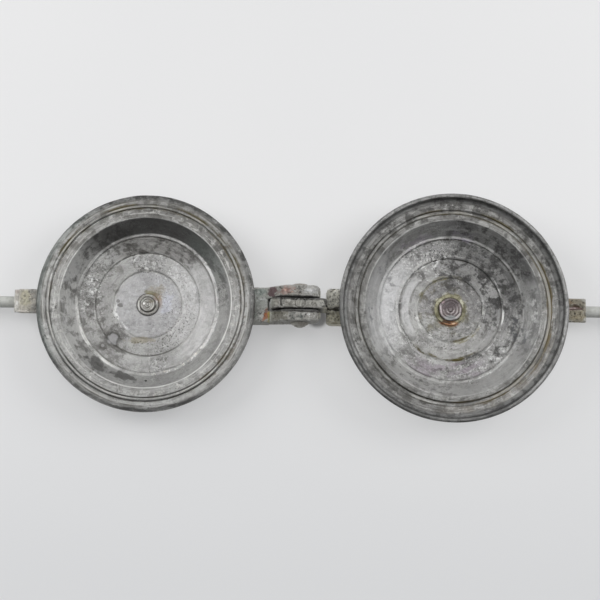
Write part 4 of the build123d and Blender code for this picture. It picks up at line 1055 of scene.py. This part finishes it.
def make_stage():
    """Table top, soft lights at both sides, a plain room, and the camera over the hinge."""
    scene = bpy.context.scene
    scene.view_settings.view_transform = "Standard"

    bpy.ops.object.select_all(action="DESELECT")
    bpy.ops.mesh.primitive_plane_add(size=30.0)
    table = bpy.context.object
    table.name = "table_top"
    material, tree, shader = new_finish("matt_white_table", roughness=0.85)
    place = place_in_mm(tree, (0, 0, 0))
    clouds = mottle(tree, place, 140.0, 0.3, 0.7, detail=1.0)
    # Painted shade: the table darkens towards the front, where the light falls off
    away = add(tree, "SeparateXYZ", {0: place}, out="Y")
    near = add(tree, "MapRange", {
        "Value": away, "From Min": 60.0, "From Max": -150.0, "To Min": 0.0, "To Max": 1.0})
    colour = coats(tree, tuple(scene.pie_iron_colours.table), [
        (clouds, 0.12, "#dcdddf"), (near, 0.8, "#d9dadb")])
    tree.links.new(colour, shader.inputs["Base Color"])
    # The camera and polished metal see part of the table's own colour, which thins the shadows:
    # none of it under the hinge and beside its lower cheek, and more in front of dish B
    paint = tree.nodes.new("ShaderNodeEmission")
    tree.links.new(colour, paint.inputs["Color"])
    rays = tree.nodes.new("ShaderNodeLightPath")
    seen = add(tree, "Math", {0: rays.outputs["Is Camera Ray"], 1: rays.outputs["Is Glossy Ray"]},
               operation="MAXIMUM")
    beside = blot(tree, place, clouds, HINGE.x / MM + 10.5, -5.0, 5.5, 5.2, 0, 0.0)
    under = blot(tree, place, clouds, HINGE.x / MM, 0.0, 19.0, 4.5, 0, 0.0)
    deep = add(tree, "Math", {0: beside, 1: under}, operation="MAXIMUM")
    front = blot(tree, place, clouds, HINGE.x / MM + 85.0, -50.0, 95.0, 50.0, 0, 0.0)
    share = add(tree, "MapRange", {"Value": front, "To Min": 0.45, "To Max": 0.64})
    thin = add(tree, "MapRange", {"Value": deep, "To Min": share, "To Max": 0.0})
    part = add(tree, "Math", {0: seen, 1: thin}, operation="MULTIPLY")
    blend = tree.nodes.new("ShaderNodeMixShader")
    tree.links.new(part, blend.inputs[0])
    tree.links.new(shader.outputs[0], blend.inputs[1])
    tree.links.new(paint.outputs[0], blend.inputs[2])
    tree.links.new(blend.outputs[0], tree.nodes["Material Output"].inputs["Surface"])
    table.data.materials.append(material)

    world = bpy.data.worlds.new("plain_room")
    scene.world = world
    world.use_nodes = True
    tree = world.node_tree
    background = tree.nodes["Background"]
    way = add(tree, "TexCoord", out="Generated")
    front = add(tree, "SeparateXYZ", {0: way}, out="Y")
    shade = add(tree, "MapRange", {"Value": front, "From Min": -0.85, "From Max": 0.3})
    room = add(tree, "Mix", {0: shade, 6: linear("#4b4b4c"), 7: linear("#c6c7ca")}, out=2,
               data_type="RGBA")
    seen = add(tree, "LightPath", out="Is Camera Ray")
    room = add(tree, "Mix", {0: seen, 6: room, 7: linear("#e2e2e2")}, out=2, data_type="RGBA")
    tree.links.new(room, background.inputs["Color"])
    background.inputs["Strength"].default_value = 0.85

    for name, x, y, z, size, power in (
        ("soft_light_left", -0.66, 0.26, 0.56, 0.55, 3.6),
        ("soft_light_right", 0.70, 0.26, 0.56, 0.55, 3.6),
        ("soft_light_above", 0.0, 0.14, 1.3, 0.8, 2.6),
    ):
        bpy.ops.object.light_add(type="AREA", location=(x, y, z))
        lamp = bpy.context.object
        lamp.name = name
        lamp.data.shape = "DISK"
        lamp.data.size = size
        lamp.data.energy = power
        lamp.rotation_euler = (Vector((0, 0, 0)) - lamp.location).to_track_quat("-Z", "Y").to_euler()

    stand = HINGE + Vector((-12.8, -75.3, 600.0)) * MM
    target = HINGE + Vector((0.0, 2.5, 0.0)) * MM
    tilt = radians(1.01)
    back = (stand - target).normalized()
    right = Vector((cos(tilt), sin(tilt), 0.0))
    up = back.cross(right).normalized()
    right = up.cross(back).normalized()
    bpy.ops.object.camera_add()
    camera = bpy.context.object
    camera.name = "camera_over_the_hinge"
    turn = Matrix((right, up, back)).transposed().to_4x4()
    camera.matrix_world = Matrix.Translation(stand) @ turn
    frame_width = 330.9 * MM
    camera.data.sensor_fit = "HORIZONTAL"
    camera.data.angle = 2 * atan(frame_width / 2 / (stand - target).length)
    camera.data.clip_start = 0.01
    scene.camera = camera


# Operators

class AddStage(bpy.types.Operator):
    """Add the table, the lights, the room and the camera"""
    bl_idname = "pie_iron.add_stage"
    bl_label = "Stage"

    def execute(self, context):
        make_stage()
        return {"FINISHED"}


class AddDishes(bpy.types.Operator):
    """Add both pressed dishes"""
    bl_idname = "pie_iron.add_dishes"
    bl_label = "Pressed dishes"

    def execute(self, context):
        make_dishes()
        return {"FINISHED"}


class AddCastings(bpy.types.Operator):
    """Add both cast arms with their hinge plates and rod sockets"""
    bl_idname = "pie_iron.add_castings"
    bl_label = "Cast arms"

    def execute(self, context):
        make_castings()
        return {"FINISHED"}


class AddRivets(bpy.types.Operator):
    """Add both centre rivets and their washers"""
    bl_idname = "pie_iron.add_rivets"
    bl_label = "Centre rivets"

    def execute(self, context):
        make_rivets()
        return {"FINISHED"}


class AddSmallMetal(bpy.types.Operator):
    """Add the hinge and rod pins, and finish the burrs, rods, ferrules, butt washers and bail"""
    bl_idname = "pie_iron.add_small_metal"
    bl_label = "Small metal pieces"

    def execute(self, context):
        make_small_metal()
        return {"FINISHED"}


class AddGrips(bpy.types.Operator):
    """Finish both turned grips"""
    bl_idname = "pie_iron.add_grips"
    bl_label = "Grips"

    def execute(self, context):
        make_grips()
        return {"FINISHED"}


OPERATORS = (AddStage, AddDishes, AddCastings, AddRivets, AddSmallMetal, AddGrips)


class PieIronPanel(bpy.types.Panel):
    """Lists the pieces of the pie iron"""
    bl_idname = "VIEW3D_PT_pie_iron"
    bl_label = "Pie iron"
    bl_space_type = "VIEW_3D"
    bl_region_type = "UI"
    bl_category = "Pie iron"

    def draw(self, context):
        for settings in (context.scene.pie_iron_sizes, context.scene.pie_iron_colours):
            for name in settings.__annotations__:
                self.layout.prop(settings, name)
        for operator in OPERATORS:
            self.layout.operator(operator.bl_idname)


CLASSES = (PieIronSizes, PieIronColours) + OPERATORS + (PieIronPanel,)


def register():
    for one in CLASSES:
        bpy.utils.register_class(one)
    bpy.types.Scene.pie_iron_sizes = bpy.props.PointerProperty(type=PieIronSizes)
    bpy.types.Scene.pie_iron_colours = bpy.props.PointerProperty(type=PieIronColours)


def unregister():
    del bpy.types.Scene.pie_iron_colours
    del bpy.types.Scene.pie_iron_sizes
    for one in reversed(CLASSES):
        bpy.utils.unregister_class(one)


def main():
    register()
    bpy.ops.pie_iron.add_stage()
    bpy.ops.pie_iron.add_dishes()
    bpy.ops.pie_iron.add_castings()
    bpy.ops.pie_iron.add_rivets()
    bpy.ops.pie_iron.add_small_metal()
    bpy.ops.pie_iron.add_grips()


if __name__ == "__main__":
    main()
